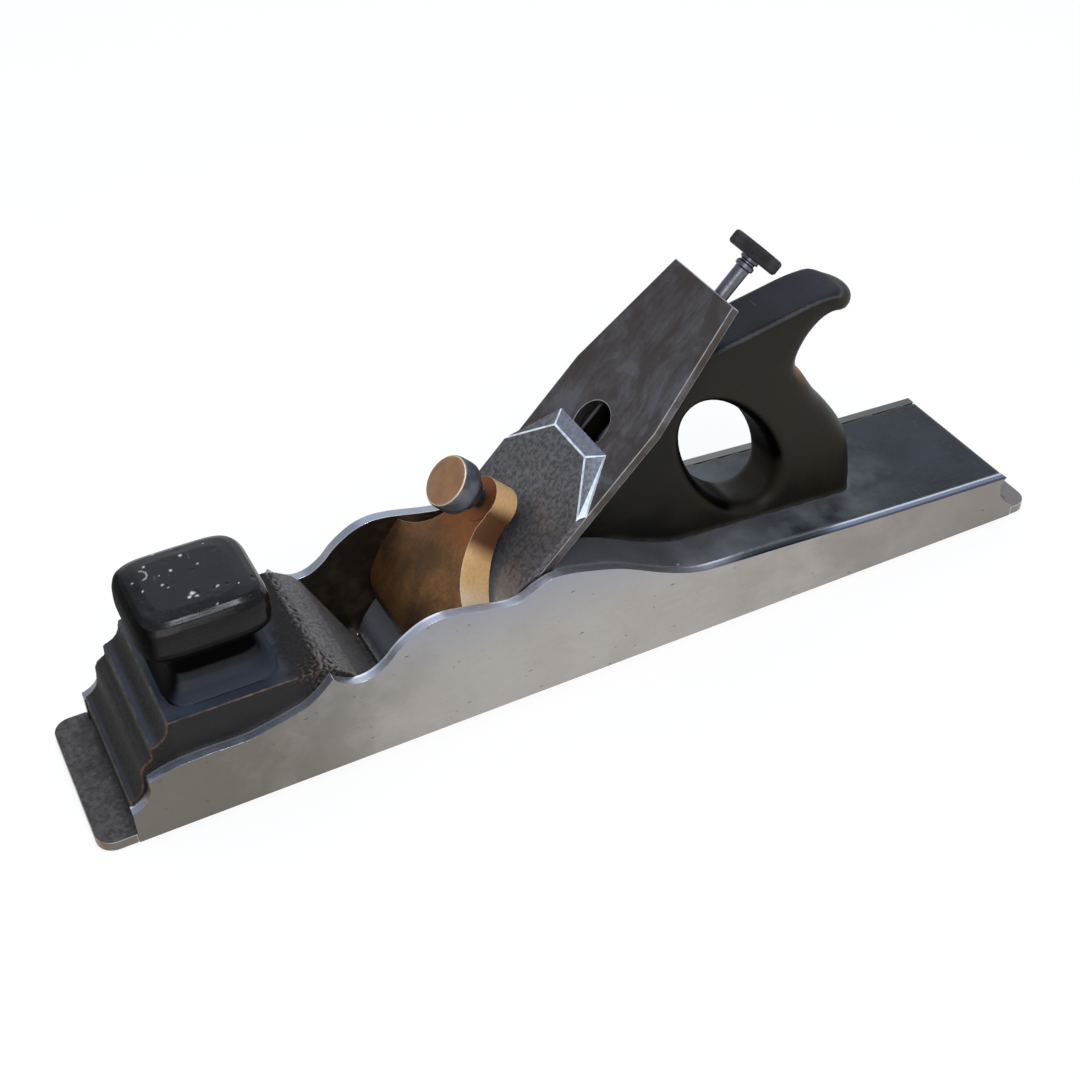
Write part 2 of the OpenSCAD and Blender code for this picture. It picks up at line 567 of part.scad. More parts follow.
module cap_plan(inset) polygon([[70, -iron_w / 2], [cap_top - cap_clip - 0.5 * inset, -iron_w / 2],
  [cap_top - inset, -cap_top_w / 2 + inset * 0.95], [cap_top - inset, cap_top_w / 2 - inset * 0.95],
  [cap_top - cap_clip - 0.5 * inset, iron_w / 2], [70, iron_w / 2]]);
module cap_iron() color(dark_steel) bed() difference() {
  union() {
    upright(-iron_w / 2, iron_w / 2) polygon(nose_profile);
    hull() {
      translate([0, 0, cap_lift]) linear_extrude(0.5) cap_plan(0);
      translate([0, 0, cap_lift + cap_t - small]) linear_extrude(small) cap_plan(cap_chamfer);
    }
  }
  translate([cap_screw_at, 0, -1]) cylinder(r = cap_screw_r + fixed_fit, h = cap_t + 3, $fn = 48);
}

cap_head_top = -iron_t - slide_gap;
cap_head_low = cap_head_top - cap_head_t;
module cap_iron_screw() color(steel) bed() difference() {
  union() {
    translate([cap_screw_at, 0, cap_head_low]) cylinder(r = cap_head_r, h = cap_head_t, $fn = 64);
    translate([cap_screw_at, 0, cap_head_low + 1])
      cylinder(r = cap_screw_r, h = cap_lift + cap_t - cap_head_low - 1, $fn = 48);
  }
  translate([cap_screw_at - 0.8, -cap_head_r - 1, cap_head_low - 1]) cube([1.6, 2 * cap_head_r + 2, 2.2]);
}

// Lever cap: side profile and face outline, both in the iron's frame
lever_tip = lever_low + 1.6;
tip_touch = cap_lift + cap_t + cap_hump + slide_gap;
lever_back_top = lever_face - lever_t;
lever_profile = concat(
  [[lever_tip, tip_touch], [lever_low, 9.4]],
  curve([[lever_low + 0.6, 10.6], [lever_low + 4, 13.8], [lever_low + 10, 17], [lever_low + 18, 19.6],
    [lever_low + 28, 21.4], [lever_shoulder, lever_face]], 3),
  [[lever_screw_at + lever_boss_r + 2, lever_face], [lever_screw_at + lever_boss_r + 2, lever_back_top]],
  curve([[lever_screw_at - 4, lever_back_top], [lever_screw_at - 16, lever_back_top - 2.4],
    [lever_shoulder + 4, lever_back_top - 5.3], [lever_shoulder - 8, lever_back_top - 5.3],
    [lever_low + 14, tip_touch + 1.6], [lever_tip + 3, tip_touch]], 3));
lever_corner = 5.2;
flare = bow([lever_screw_at - 9, lever_neck], [lever_shoulder, lever_w / 2], 4.4, 8);
half_outline = concat([[lever_low - 1, lever_w / 2 - lever_corner - 0.5]],
  bow([lever_low + 0.4, lever_w / 2 - lever_corner], [lever_low + 8, lever_w / 2], 0.8, 4),
  [[lever_shoulder - 0.8, lever_w / 2]], [for (i = [len(flare) - 1:-1:0]) flare[i]],
  [[lever_screw_at, lever_neck]]);
boss_up = 0.4;
module lever_cap() color(gunmetal) bed() difference() {
  union() {
    intersection() {
      upright(-plane_w / 2, plane_w / 2) polygon(lever_profile);
      linear_extrude(lever_face + 1) polygon(concat(half_outline,
        [for (i = [len(half_outline) - 1:-1:0]) [half_outline[i][0], -half_outline[i][1]]]));
    }
    translate([lever_screw_at, 0, lever_back_top]) cylinder(r = lever_boss_r, h = lever_t + boss_up, $fn = 64);
  }
  translate([lever_screw_at, 0, 0])
    cylinder(r = screw_r + run_fit, h = lever_face + boss_up + 1, $fn = 64);
  for (side = [-1, 1]) translate([pin_at, side * (plane_w / 2 + 1), pin_up]) rotate([side * 90, 0, 0])
    cylinder(r = pin_r + run_fit, h = plane_w / 2 + 1 - lever_w / 2 + pin_depth + slide_gap, $fn = 48);
}
module lever_cap_pins() color(steel) for (side = [-1, 1]) translate([pin_x, side * plane_w / 2, pin_z])
  rotate([side * 90, 0, 0]) cylinder(r = pin_r, h = plane_w / 2 - lever_w / 2 + pin_depth, $fn = 48);

// A threaded rod along Z, with its thread as ring grooves
module threaded(r, depth, pitch, z0, z1) rotate_extrude($fn = 64) polygon(concat([[0, z0]],
  [for (i = [0:floor((z1 - z0) / pitch) - 1]) each [[r, z0 + i * pitch], [r, z0 + (i + 0.4) * pitch],
    [r - depth, z0 + (i + 0.6) * pitch], [r - depth, z0 + (i + 0.8) * pitch]]],
  [[r, z1 - 0.3], [r, z1], [0, z1]]));
screw_tip = cap_lift + cap_t + slide_gap;
collar_low = knob_face - knob_t - collar_t;
module lever_cap_screw() color(dark_steel) bed() translate([lever_screw_at, 0, 0]) {
  threaded(screw_r, 0.5, coarse_pitch, screw_tip + 2, collar_low);
  translate([0, 0, screw_tip]) cylinder(r1 = 1.2, r2 = screw_r - 0.5, h = 2 + small, $fn = 48);
  translate([0, 0, collar_low - small]) cylinder(r = collar_r, h = collar_t + small, $fn = 64);
  translate([0, 0, collar_low + collar_t - small]) cylinder(r = screw_r, h = knob_t * 0.6, $fn = 48);
}

// A disc along Z with a rounded, fluted rim: so many small grooves round it
module knurled(r, t, bevel, grooves) difference() {
  rotate_extrude($fn = 96) polygon([[0, 0], [r - bevel, 0], [r - 0.3 * bevel, 0.16 * t], [r, 0.4 * t],
    [r, 0.6 * t], [r - 0.3 * bevel, 0.84 * t], [r - bevel, t], [0, t]]);
  for (i = [0:grooves - 1]) rotate([0, 0, 360 * i / grooves]) translate([r + 0.35, 0, -1])
    cylinder(r = 0.75, h = t + 2, $fn = 16);
}
head_grooves = 32;
module lever_cap_screw_head() color(copper) bed()
  translate([lever_screw_at, 0, knob_face - knob_t + slide_gap]) difference() {
    knurled(knob_r, knob_t - slide_gap, 1.1, head_grooves);
    translate([0, 0, -1]) cylinder(r = screw_r + run_fit, h = knob_t * 0.6 + 1, $fn = 48);
  }

// Adjuster carrier: a block with the ring for the cap iron screw's head
module carrier_bore() rotate([0, 90, 0]) cylinder(r = fine_r + run_fit, h = carrier_high - cap_screw_at, $fn = 48);
ring_top = cap_head_top - slide_gap;
module adjuster_carrier() color(steel) bed() difference() {
  union() {
    bed_box(cap_screw_at, carrier_high, carrier_half - 1.4, -carrier_back, ring_top);
    translate([cap_screw_at, 0, -carrier_back]) cylinder(r = carrier_half, h = carrier_back + ring_top, $fn = 96);
  }
  translate([cap_screw_at, 0, cap_head_low - slide_gap])
    cylinder(r = cap_head_r + run_fit, h = 20, $fn = 96);
  translate([cap_screw_at + cap_head_r + 1.4, 0, -spindle_down]) carrier_bore();
}

// Adjuster swivel: round nut with a pivot that turns in the plate
module adjuster_swivel() color(gunmetal) bed() difference() {
  union() {
    translate([swivel_at, 0, -swivel_low]) cylinder(r = swivel_r, h = swivel_low - 6.5, $fn = 96);
    translate([swivel_at, 0, -swivel_low - pivot_l]) cylinder(r = pivot_r, h = pivot_l + 1, $fn = 64);
  }
  translate([swivel_at - 20, 0, -spindle_down]) rotate([0, 90, 0])
    cylinder(r = spindle_r + run_fit, h = 40, $fn = 64);
}

plate_screws = [plate_high - 28, plate_high - 7];
plate_screw_l = 12;
module adjuster_plate() color(steel) bed() difference() {
  union() {
    bed_box(plate_low, plate_high, plate_w / 2, -plate_back, -plate_face);
    translate([swivel_at, 0, -plate_back - boss_l]) cylinder(r = boss_r, h = boss_l + plate_t, $fn = 64);
  }
  translate([swivel_at, 0, -plate_back - boss_l - 1]) cylinder(r = pivot_r + run_fit, h = 20, $fn = 64);
  for (s = plate_screws) translate([s, 0, -plate_back]) plate_screw_hole(fixed_fit);
}
module plate_screw_hole(gap) {
  translate([0, 0, -1]) cylinder(r = plate_screw_r / 2 + gap, h = plate_t + 2, $fn = 32);
  translate([0, 0, plate_t - plate_screw_r / 2]) cylinder(r1 = plate_screw_r / 2 + gap,
    r2 = plate_screw_r + gap, h = plate_screw_r / 2 + small, $fn = 48);
}
module adjuster_plate_screws() color(steel) bed() for (s = plate_screws) translate([s, 0, -plate_back])
  difference() {
    union() {
      translate([0, 0, -plate_screw_l]) cylinder(r = plate_screw_r / 2, h = plate_screw_l + plate_t - 0.1, $fn = 32);
      translate([0, 0, plate_t - plate_screw_r / 2]) cylinder(r1 = plate_screw_r / 2, r2 = plate_screw_r,
        h = plate_screw_r / 2, $fn = 48);
    }
    translate([-plate_screw_r - 1, -0.5, plate_t - 0.9]) cube([2 * plate_screw_r + 2, 1, 2]);
  }

// Adjuster spindle: fine thread in the carrier, coarse thread in the swivel, plain rod, collar
spindle_low = cap_screw_at + 12;
coarse_low = carrier_high + 2.2;
coarse_high = swivel_at + 18;
wheel_low = wheel_at - wheel_t / 2;
module adjuster_spindle() color(steel) bed() translate([0, 0, -spindle_down]) rotate([0, 90, 0]) {
  threaded(fine_r, 0.25, fine_pitch, spindle_low, coarse_low + small);
  threaded(spindle_r, 0.35, coarse_pitch, coarse_low, coarse_high);
  translate([0, 0, coarse_high - small]) cylinder(r = spindle_r, h = wheel_low - coarse_high, $fn = 64);
  translate([0, 0, wheel_low - spindle_collar_l]) rotate_extrude($fn = 64) polygon([[0, 0], [spindle_r, 0],
    [spindle_collar_r, 0.6], [spindle_collar_r, 2.2], [spindle_r, 2.8], [spindle_r, 3.4],
    [spindle_collar_r, 3.9], [spindle_collar_r, spindle_collar_l], [0, spindle_collar_l]]);
  translate([0, 0, wheel_low - small]) cylinder(r = fine_r, h = wheel_t * 0.6, $fn = 48);
}
wheel_grooves = 40;
module adjuster_knob() color(dark_steel) bed() translate([0, 0, -spindle_down]) rotate([0, 90, 0])
  translate([0, 0, wheel_low + slide_gap]) difference() {
    knurled(wheel_r, wheel_t - slide_gap, 0.9, wheel_grooves);
    translate([0, 0, -1]) cylinder(r = fine_r + run_fit, h = wheel_t * 0.6 + 1, $fn = 48);
  }

toe_sole();
heel_sole();
left_side();
right_side();
mouth_block();
mouth_block_rivets();
front_infill();
front_bun();
front_infill_rivets();
rear_infill();
tote();
rear_infill_rivets();
lever_cap_pins();
lever_cap();
lever_cap_screw();
lever_cap_screw_head();
cap_iron();
cap_iron_screw();
cutting_iron();
adjuster_carrier();
adjuster_swivel();
adjuster_plate();
adjuster_plate_screws();
adjuster_spindle();
adjuster_knob();
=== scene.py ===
import bmesh
import bpy
import math
import numpy
import random
from mathutils import Matrix, Vector, noise


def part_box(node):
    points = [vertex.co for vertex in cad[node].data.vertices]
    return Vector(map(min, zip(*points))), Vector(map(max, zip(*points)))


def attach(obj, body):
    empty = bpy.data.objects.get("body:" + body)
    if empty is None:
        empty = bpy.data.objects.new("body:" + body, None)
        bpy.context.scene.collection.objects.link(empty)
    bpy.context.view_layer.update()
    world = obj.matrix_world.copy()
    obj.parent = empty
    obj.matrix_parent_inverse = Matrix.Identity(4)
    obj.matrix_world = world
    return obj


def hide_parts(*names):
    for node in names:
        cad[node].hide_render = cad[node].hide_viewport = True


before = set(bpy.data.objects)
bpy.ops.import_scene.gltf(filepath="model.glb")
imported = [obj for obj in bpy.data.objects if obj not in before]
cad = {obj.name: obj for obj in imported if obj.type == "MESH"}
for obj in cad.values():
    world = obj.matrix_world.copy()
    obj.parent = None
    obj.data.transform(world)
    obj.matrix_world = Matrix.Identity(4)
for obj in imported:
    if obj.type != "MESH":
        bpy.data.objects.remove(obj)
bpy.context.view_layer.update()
scene = bpy.context.scene
random.seed(17)
print("frame in place:", len(cad), "nodes")

mm = 0.001
mouthX = -90.45 * mm  # where the cutting edge meets the sole
bedTurn = math.radians(45)
bedUp = Vector((-math.sin(bedTurn), 0, math.cos(bedTurn)))  # out of the iron's front face
bedAlong = Vector((math.cos(bedTurn), 0, math.sin(bedTurn)))  # up the iron


def bedPoint(s, y, w):
    return Vector((mouthX, y, 0)) + bedAlong * s + bedUp * w


# shader helpers

def tone(red, green, blue):  # a screen colour, 0 to 255, as the linear values that sockets take
    def linear(value):
        value = value / 255
        return value / 12.92 if value <= 0.04045 else ((value + 0.055) / 1.055) ** 2.4
    return (linear(red), linear(green), linear(blue), 1)


def span(low, high):  # two places in millimetres, for a fade along an axis
    return (low * mm, high * mm)


wiring = {"tree": None}  # the node tree that the helpers below work in


def feed(socket, value):
    if isinstance(value, bpy.types.NodeSocket):
        wiring["tree"].links.new(value, socket)
    elif value is not None:
        socket.default_value = value


def addNode(kind, given=None, **settings):
    node = wiring["tree"].nodes.new(kind if kind.startswith("Node") else "ShaderNode" + kind)
    for name, value in settings.items():
        setattr(node, name, value)
    for name, value in (given or {}).items():
        feed(node.inputs[name], value)
    return node


def calc(operation, first, *others, clamp=False):  # a Math node for each further value
    for other in others or (None,):
        node = addNode("Math", operation=operation, use_clamp=clamp)
        feed(node.inputs[0], first)
        feed(node.inputs[1], other)
        first = node.outputs[0]
    return first


def times(*values):
    return calc("MULTIPLY", *values)


def plus(*values):
    return calc("ADD", *values)


def minus(*values):
    return calc("SUBTRACT", *values)


def most(*values):
    return calc("MAXIMUM", *values)


def swing(mask, reach):  # a mask turned into a shift to both sides
    return times(minus(mask, 0.5), reach)


def mixColour(share, under, over):
    node = addNode("Mix", data_type="RGBA", clamp_factor=True)
    feed(node.inputs[0], share)
    feed(node.inputs[6], under)
    feed(node.inputs[7], over)
    return node.outputs[2]


def layer(under, paint, *masks):  # a colour and its greatest share, laid on where the masks are
    over, share = paint
    return mixColour(times(*masks, share), under, over)


def mixValue(share, under, over):
    node = addNode("Mix", data_type="FLOAT", clamp_factor=True)
    feed(node.inputs[0], share)
    feed(node.inputs[2], under)
    feed(node.inputs[3], over)
    return node.outputs[0]


def fade(value, low, high):  # 0 at low, 1 at high, smooth between
    node = addNode("MapRange", {"Value": value, "From Min": low, "From Max": high},
                   interpolation_type="SMOOTHSTEP")
    return node.outputs["Result"]


def along(vector, direction):  # how far a vector reaches in a direction
    node = addNode("VectorMath", operation="DOT_PRODUCT")
    feed(node.inputs[0], vector)
    node.inputs[1].default_value = direction
    return node.outputs["Value"]


def split(vector):
    return addNode("SeparateXYZ", {"Vector": vector}).outputs


def marked(name):  # a value that the mesh code left on the piece
    return addNode("Attribute", attribute_name=name).outputs["Fac"]


def newGroup(name, takes, gives):
    tree = wiring["tree"] = bpy.data.node_groups.new(name, "ShaderNodeTree")
    for label, start in takes.items():
        kind = "Vector" if start is None or isinstance(start, tuple) else "Float"
        socket = tree.interface.new_socket(name=label, in_out="INPUT", socket_type="NodeSocket" + kind)
        if start is not None:
            socket.default_value = start
    for label in gives:
        tree.interface.new_socket(name=label, in_out="OUTPUT", socket_type="NodeSocketFloat")
    return addNode("NodeGroupInput").outputs, addNode("NodeGroupOutput").inputs


def useGroup(name, given=None):
    node = addNode("Group", node_tree=bpy.data.node_groups[name])
    for label, value in (given or {}).items():
        feed(node.inputs[label], value)
    return node.outputs


# shared effects

def buildArrisWearAndLight():  # the strips that the mesh code marked: bright over 0, a painted highlight with rubbing wear; dark under 0, a painted dark reflection
    take, give = newGroup("Arris wear and painted light", {"Vector": None, "Break-up scale": 300, "Break-up": 0.5},
                          ["Mask", "Shade"])
    arris = marked("arris")
    spots = addNode("TexNoise", {"Vector": take["Vector"], "Scale": take["Break-up scale"], "Detail": 4})
    share = mixValue(take["Break-up"], 1, fade(spots.outputs["Fac"], 0.3, 0.62))
    feed(give["Mask"], calc("MULTIPLY", arris, share, clamp=True))
    feed(give["Shade"], calc("MULTIPLY", times(arris, -1), share, clamp=True))


def buildWoodWearAndSheen():  # how sharply carved wood turns, from the bend that the mesh code measured
    take, give = newGroup("Wood wear and painted sheen", {"Vector": None, "Break-up scale": 180, "Break-up": 0.12,
                                        "Start": 0.1, "Full": 0.3}, ["Mask"])
    spots = addNode("TexNoise", {"Vector": take["Vector"], "Scale": take["Break-up scale"], "Detail": 5})
    wobble = swing(spots.outputs["Fac"], take["Break-up"])
    feed(give["Mask"], fade(plus(marked("bend"), wobble), take["Start"], take["Full"]))


def buildCornerDust():  # dirt and dust kept in the inner corners
    take, give = newGroup("Corner dust", {"Vector": None, "Reach": 4 * mm, "Break-up scale": 200,
                                        "Start": 0.35, "Full": 0.7}, ["Mask"])
    nook = addNode("AmbientOcclusion", {"Distance": take["Reach"]}, samples=4)
    spots = addNode("TexNoise", {"Vector": take["Vector"], "Scale": take["Break-up scale"], "Detail": 5})
    raw = plus(minus(1, nook.outputs["AO"]), swing(spots.outputs["Fac"], 0.5))
    feed(give["Mask"], fade(raw, take["Start"], take["Full"]))


def buildClouds():  # soft uneven patches
    take, give = newGroup("Clouds", {"Vector": None, "Scale": 40, "Detail": 6, "Roughness": 0.6,
                                        "Start": 0.4, "Full": 0.6}, ["Mask"])
    cloud = addNode("TexNoise", {name: take[name] for name in ("Vector", "Scale", "Detail", "Roughness")})
    feed(give["Mask"], fade(cloud.outputs["Fac"], take["Start"], take["Full"]))


def buildStreaks():  # fine lines along one way, from grinding, rubbing or the wood's grain
    take, give = newGroup("Streaks", {"Vector": None, "Stretch": (1, 12, 12), "Scale": 60,
                                        "Start": 0.4, "Full": 0.65}, ["Mask"])
    drawn = addNode("VectorMath", operation="MULTIPLY")
    feed(drawn.inputs[0], take["Vector"])
    feed(drawn.inputs[1], take["Stretch"])
    lines = addNode("TexNoise", {"Vector": drawn.outputs[0], "Scale": take["Scale"], "Detail": 5,
                                 "Roughness": 0.65})
    feed(give["Mask"], fade(lines.outputs["Fac"], take["Start"], take["Full"]))


def buildPits():  # scattered small pits or spots, each of its own size
    take, give = newGroup("Pits", {"Vector": None, "Scale": 200, "Size": 0.25, "Share": 0.3}, ["Mask"])
    bent = addNode("TexNoise", {"Vector": take["Vector"], "Scale": 900, "Detail": 2})
    shift = addNode("VectorMath", operation="SCALE")
    feed(shift.inputs[0], bent.outputs["Color"])
    shift.inputs["Scale"].default_value = 0.5 * mm
    moved = addNode("VectorMath", operation="ADD")
    feed(moved.inputs[0], take["Vector"])
    feed(moved.inputs[1], shift.outputs[0])
    cell = addNode("TexVoronoi", {"Vector": moved.outputs[0], "Scale": take["Scale"]})
    chance = addNode("SeparateColor", {"Color": cell.outputs["Color"]}).outputs
    here = calc("LESS_THAN", chance["Red"], take["Share"])
    size = times(take["Size"], plus(0.35, chance["Green"]))
    inside = fade(cell.outputs["Distance"], size, times(size, 0.5))
    feed(give["Mask"], times(inside, here))


for build in (buildArrisWearAndLight, buildWoodWearAndSheen, buildCornerDust, buildClouds, buildStreaks, buildPits):
    build()
print("shared effects built")


def clouds(place, scale, detail, start, full):
    return useGroup("Clouds", {"Vector": place, "Scale": scale, "Detail": detail,
                               "Start": start, "Full": full})["Mask"]


def streaks(place, stretch, scale, start, full):
    return useGroup("Streaks", {"Vector": place, "Stretch": stretch, "Scale": scale,
                                "Start": start, "Full": full})["Mask"]


def pits(place, scale, size, share):
    return useGroup("Pits", {"Vector": place, "Scale": scale, "Size": size, "Share": share})["Mask"]


def startMaterial(name, **steady):  # steady values stand on the shader's own sockets
    material = bpy.data.materials.new(name)
    material.use_nodes = True
    wiring["tree"] = material.node_tree
    material.node_tree.nodes.clear()
    shader = addNode("BsdfPrincipled", steady)
    feed(addNode("OutputMaterial").inputs[0], shader.outputs[0])
    spot = addNode("TexCoord")
    return material, shader, spot.outputs["Object"], spot.outputs["Normal"]


def bedCoords(place):  # X up the iron, Y across, Z out of its front face
    node = addNode("Mapping", {"Vector": place, "Rotation": (0, bedTurn, 0),
        "Location": (-mouthX * math.cos(bedTurn), 0, mouthX * math.sin(bedTurn))})
    return node.outputs[0]


def addBump(shader, height, depth, strength):
    bump = addNode("Bump", {"Height": height, "Distance": depth, "Strength": strength})
    feed(shader.inputs["Normal"], bump.outputs[0])


# In the dictionaries below a colour with a number is a layer and its greatest share, clouds are
# (scale, detail, start, full), streaks (stretch, scale, start, full) and pits (scale, size, share).

# steel of the body: satin cheeks, rough grey toe ledge, bright arrises of painted highlight with wear

bodyLook = dict(
    satin=tone(168, 163, 158), warm=(tone(150, 140, 128), 0.35), grain=(tone(186, 183, 179), 0.25),
    blue=(tone(148, 151, 160), 0.8), skyMirrorUp=span(26, 60),
    toeStain=tone(112, 107, 99), toeStained=span(-70, -180), stainWander=40 * mm,
    heelStain=(tone(128, 121, 115), 0.85), heelStained=span(40, 190),
    mark=(tone(66, 58, 54), 0.7), fleck=(tone(66, 58, 54), 0.35), markLean=(0, 0.7, 0), markShape=(1, 1, 3.5),
    smudges=(22, 5, 0.42, 0.68), fine=(420, 3, 0.35, 0.75), lines=((1, 30, 30), 55, 0.35, 0.8),
    marks=(95, 0.15, 0.14), flecks=(380, 0.24, 0.09),
    # upper faces of the ledges
    ledge=tone(96, 91, 88), ledgeMottle=(tone(54, 51, 49), 0.65), ledgeBlotch=(tone(54, 51, 49), 0.45),
    mottle=(520, 5, 0.36, 0.64), blotch=(70, 4, 0.5, 0.64), ledgeTop=span(7, 5.6), ledgeFlat=(0.5, 0.9),
    ledgeToe=span(0, -50),
    # inner faces of the cheeks
    inside=tone(59, 50, 40), insideLight=(tone(108, 93, 76), 0.6), throatPatches=(110, 6, 0.4, 0.75), innerWay=(-0.4, -0.8),
    # land on top of the cheeks
    landDull=tone(186, 188, 196), landHeel=tone(138, 145, 162), heelward=span(35, 80),
    landToe=tone(156, 162, 178), toeward=span(-120, -165), landFar=tone(150, 153, 160),
    landHidden=tone(104, 103, 96), hidden=span(0, 30), nearSide=span(5, -5), landUp=(0.45, 0.75),
    landTop=span(7, 9), landShare=0.85, lip=span(-34.0, -33.4), outer=span(-35.3, -36.0),
    bright=tone(236, 240, 248), rubAndHighlightShare=0.9, darkReflectionOuter=(tone(58, 66, 84), 0.9), darkReflection=(tone(58, 66, 84), 0.8),
    arrisScale=120, arrisBreak=0.45,
    rust=(tone(120, 84, 54), 0.7), rusty=(160, 4, 0.4, 0.6), toeEnd=span(-190, -196), toeFacing=(-0.3, -0.7),
    roughFrom=0.32, roughTo=0.44, roughLedge=0.62, roughBright=0.24, roughInside=0.55, farShine=0.2,
    lineHeight=0.12, markHeight=0.7, ledgeHeight=0.9, bump=(0.09 * mm, 0.8),
)


def makeBodySteel():
    look = bodyLook
    material, shader, place, facing = startMaterial("Satin body steel", Metallic=0.9, **{"Specular IOR Level": 0.4})
    axes, ways = split(place), split(facing)
    smudge = clouds(place, *look["smudges"])
    lines = streaks(place, *look["lines"])
    leaning = addNode("Mapping", {"Vector": place, "Rotation": look["markLean"],
                                  "Scale": look["markShape"]}).outputs[0]
    marks = pits(leaning, *look["marks"])
    colour = layer(look["satin"], look["warm"], smudge)
    colour = layer(colour, look["grain"], lines)
    # painted sky reflection: the cheeks turn bluish towards their top
    colour = layer(colour, look["blue"], fade(axes["Z"], *look["skyMirrorUp"]))
    wander = plus(axes["X"], swing(smudge, look["stainWander"]))
    colour = mixColour(fade(wander, *look["toeStained"]), colour, look["toeStain"])
    colour = layer(colour, look["heelStain"], fade(wander, *look["heelStained"]))
    colour = layer(colour, look["mark"], marks)
    colour = layer(colour, look["fleck"], pits(place, *look["flecks"]))
    # upper faces of the ledges, dark and granular at the toe
    ledge = times(fade(axes["Z"], *look["ledgeTop"]), fade(ways["Z"], *look["ledgeFlat"]),
                  fade(axes["X"], *look["ledgeToe"]))
    mottle = clouds(place, *look["mottle"])
    ledgeColour = layer(look["ledge"], look["ledgeMottle"], mottle)
    ledgeColour = layer(ledgeColour, look["ledgeBlotch"], clouds(place, *look["blotch"]))
    colour = mixColour(ledge, colour, ledgeColour)
    # inner faces of the cheeks: painted shade in the throat, a dark brown with lighter patches
    across = times(calc("SIGN", axes["Y"]), ways["Y"])
    inner = fade(across, *look["innerWay"])
    throatPatches = clouds(place, *look["throatPatches"])
    colour = mixColour(inner, colour, layer(look["inside"], look["insideLight"], throatPatches))
    # land on top of the cheeks, painted with the sky it reflects: dull to the middle, grey along the heel end, with a
    # painted highlight for the bright inner lip and a painted dark reflection on the outer edge towards the heel
    land = times(fade(ways["Z"], *look["landUp"]), fade(axes["Z"], *look["landTop"]))
    heelward = fade(axes["X"], *look["heelward"])
    landColour = mixColour(heelward, look["landDull"], look["landHeel"])
    landColour = mixColour(fade(axes["X"], *look["toeward"]), landColour, look["landToe"])
    nearSide = fade(axes["Y"], *look["nearSide"])
    farColour = mixColour(fade(axes["X"], *look["hidden"]), look["landFar"], look["landHidden"])
    landColour = mixColour(nearSide, farColour, landColour)
    # painted highlight: a bright lip along the near inner edge of the land
    lip = times(fade(axes["Y"], *look["lip"]), nearSide)
    landColour = mixColour(lip, landColour, look["bright"])
    # painted dark reflection along the land's outer edge towards the heel
    landColour = layer(landColour, look["darkReflectionOuter"], fade(axes["Y"], *look["outer"]), heelward)
    colour = layer(colour, (landColour, look["landShare"]), land)
    wear = useGroup("Arris wear and painted light", {"Vector": place, "Break-up scale": look["arrisScale"],
                                   "Break-up": look["arrisBreak"]})
    # painted highlight with wear: the marked arrises lightened near to white
    colour = layer(colour, (look["bright"], look["rubAndHighlightShare"]), wear["Mask"])
    # painted dark reflection: the cheek's outer arris towards the heel darkened to navy grey
    colour = layer(colour, look["darkReflection"], wear["Shade"])
    toeEnd = times(fade(axes["X"], *look["toeEnd"]), fade(ways["X"], *look["toeFacing"]))
    colour = layer(colour, look["rust"], toeEnd, clouds(place, *look["rusty"]))
    feed(shader.inputs["Base Color"], colour)
    shiny = most(wear["Mask"], times(land, most(lip, mixValue(nearSide, look["farShine"], heelward))))
    rough = mixValue(clouds(place, *look["fine"]), look["roughFrom"], look["roughTo"])
    rough = mixValue(ledge, rough, look["roughLedge"])
    rough = mixValue(inner, rough, look["roughInside"])
    feed(shader.inputs["Roughness"], mixValue(shiny, rough, look["roughBright"]))
    height = minus(times(lines, look["lineHeight"]), times(marks, look["markHeight"]))
    height = plus(height, times(ledge, times(mottle, look["ledgeHeight"])))
    addBump(shader, height, *look["bump"])
    return material


# black finished wood of the two infills and the bun

woodLooks = {
    "Infill wood": dict(black=tone(17, 14, 12), skySheen=tone(52, 59, 72), brown=tone(122, 96, 82), skySheenShare=0.8,
        skySheenLow=0.55, specks=0.015, gloss=0.32, specular=0.24, wear=(0.12, 0.34), wearShare=0.85),
    "Rear deck wood": dict(black=tone(15, 15, 17), skySheen=tone(38, 44, 50), brown=tone(110, 106, 102), skySheenShare=0.95,
        skySheenLow=0.3, specks=0.012, gloss=0.34, specular=0.28, wear=(0.16, 0.45), wearShare=0.5),
    "Bun wood": dict(black=tone(11, 10, 10), skySheen=tone(18, 19, 23), brown=tone(84, 54, 32), skySheenShare=0.35,
        skySheenLow=0.5, specks=0.03, gloss=0.12, specular=0.21, wear=(0.12, 0.46), wearShare=0.3),
}
woodGrain = dict(haze=(45, 7, 0.35, 0.7), pores=((1, 22, 22), 90, 0.56, 0.7), scuffs=((3, 1, 1), 130, 0.62, 0.7),
    grit=(800, 5, 0.36, 0.66), pore=(tone(60, 38, 28), 0.2), scuff=(tone(120, 122, 126), 0.14),
    speck=(tone(204, 196, 186), 0.6), wearScale=320, wearBreak=0.3, hazeRough=0.16, poreHeight=-0.35,
    worn=0.5, wornShare=0.6, upward=(0.55, 0.95), speckScale=210, speckSize=0.2, bump=(0.12 * mm, 0.7))
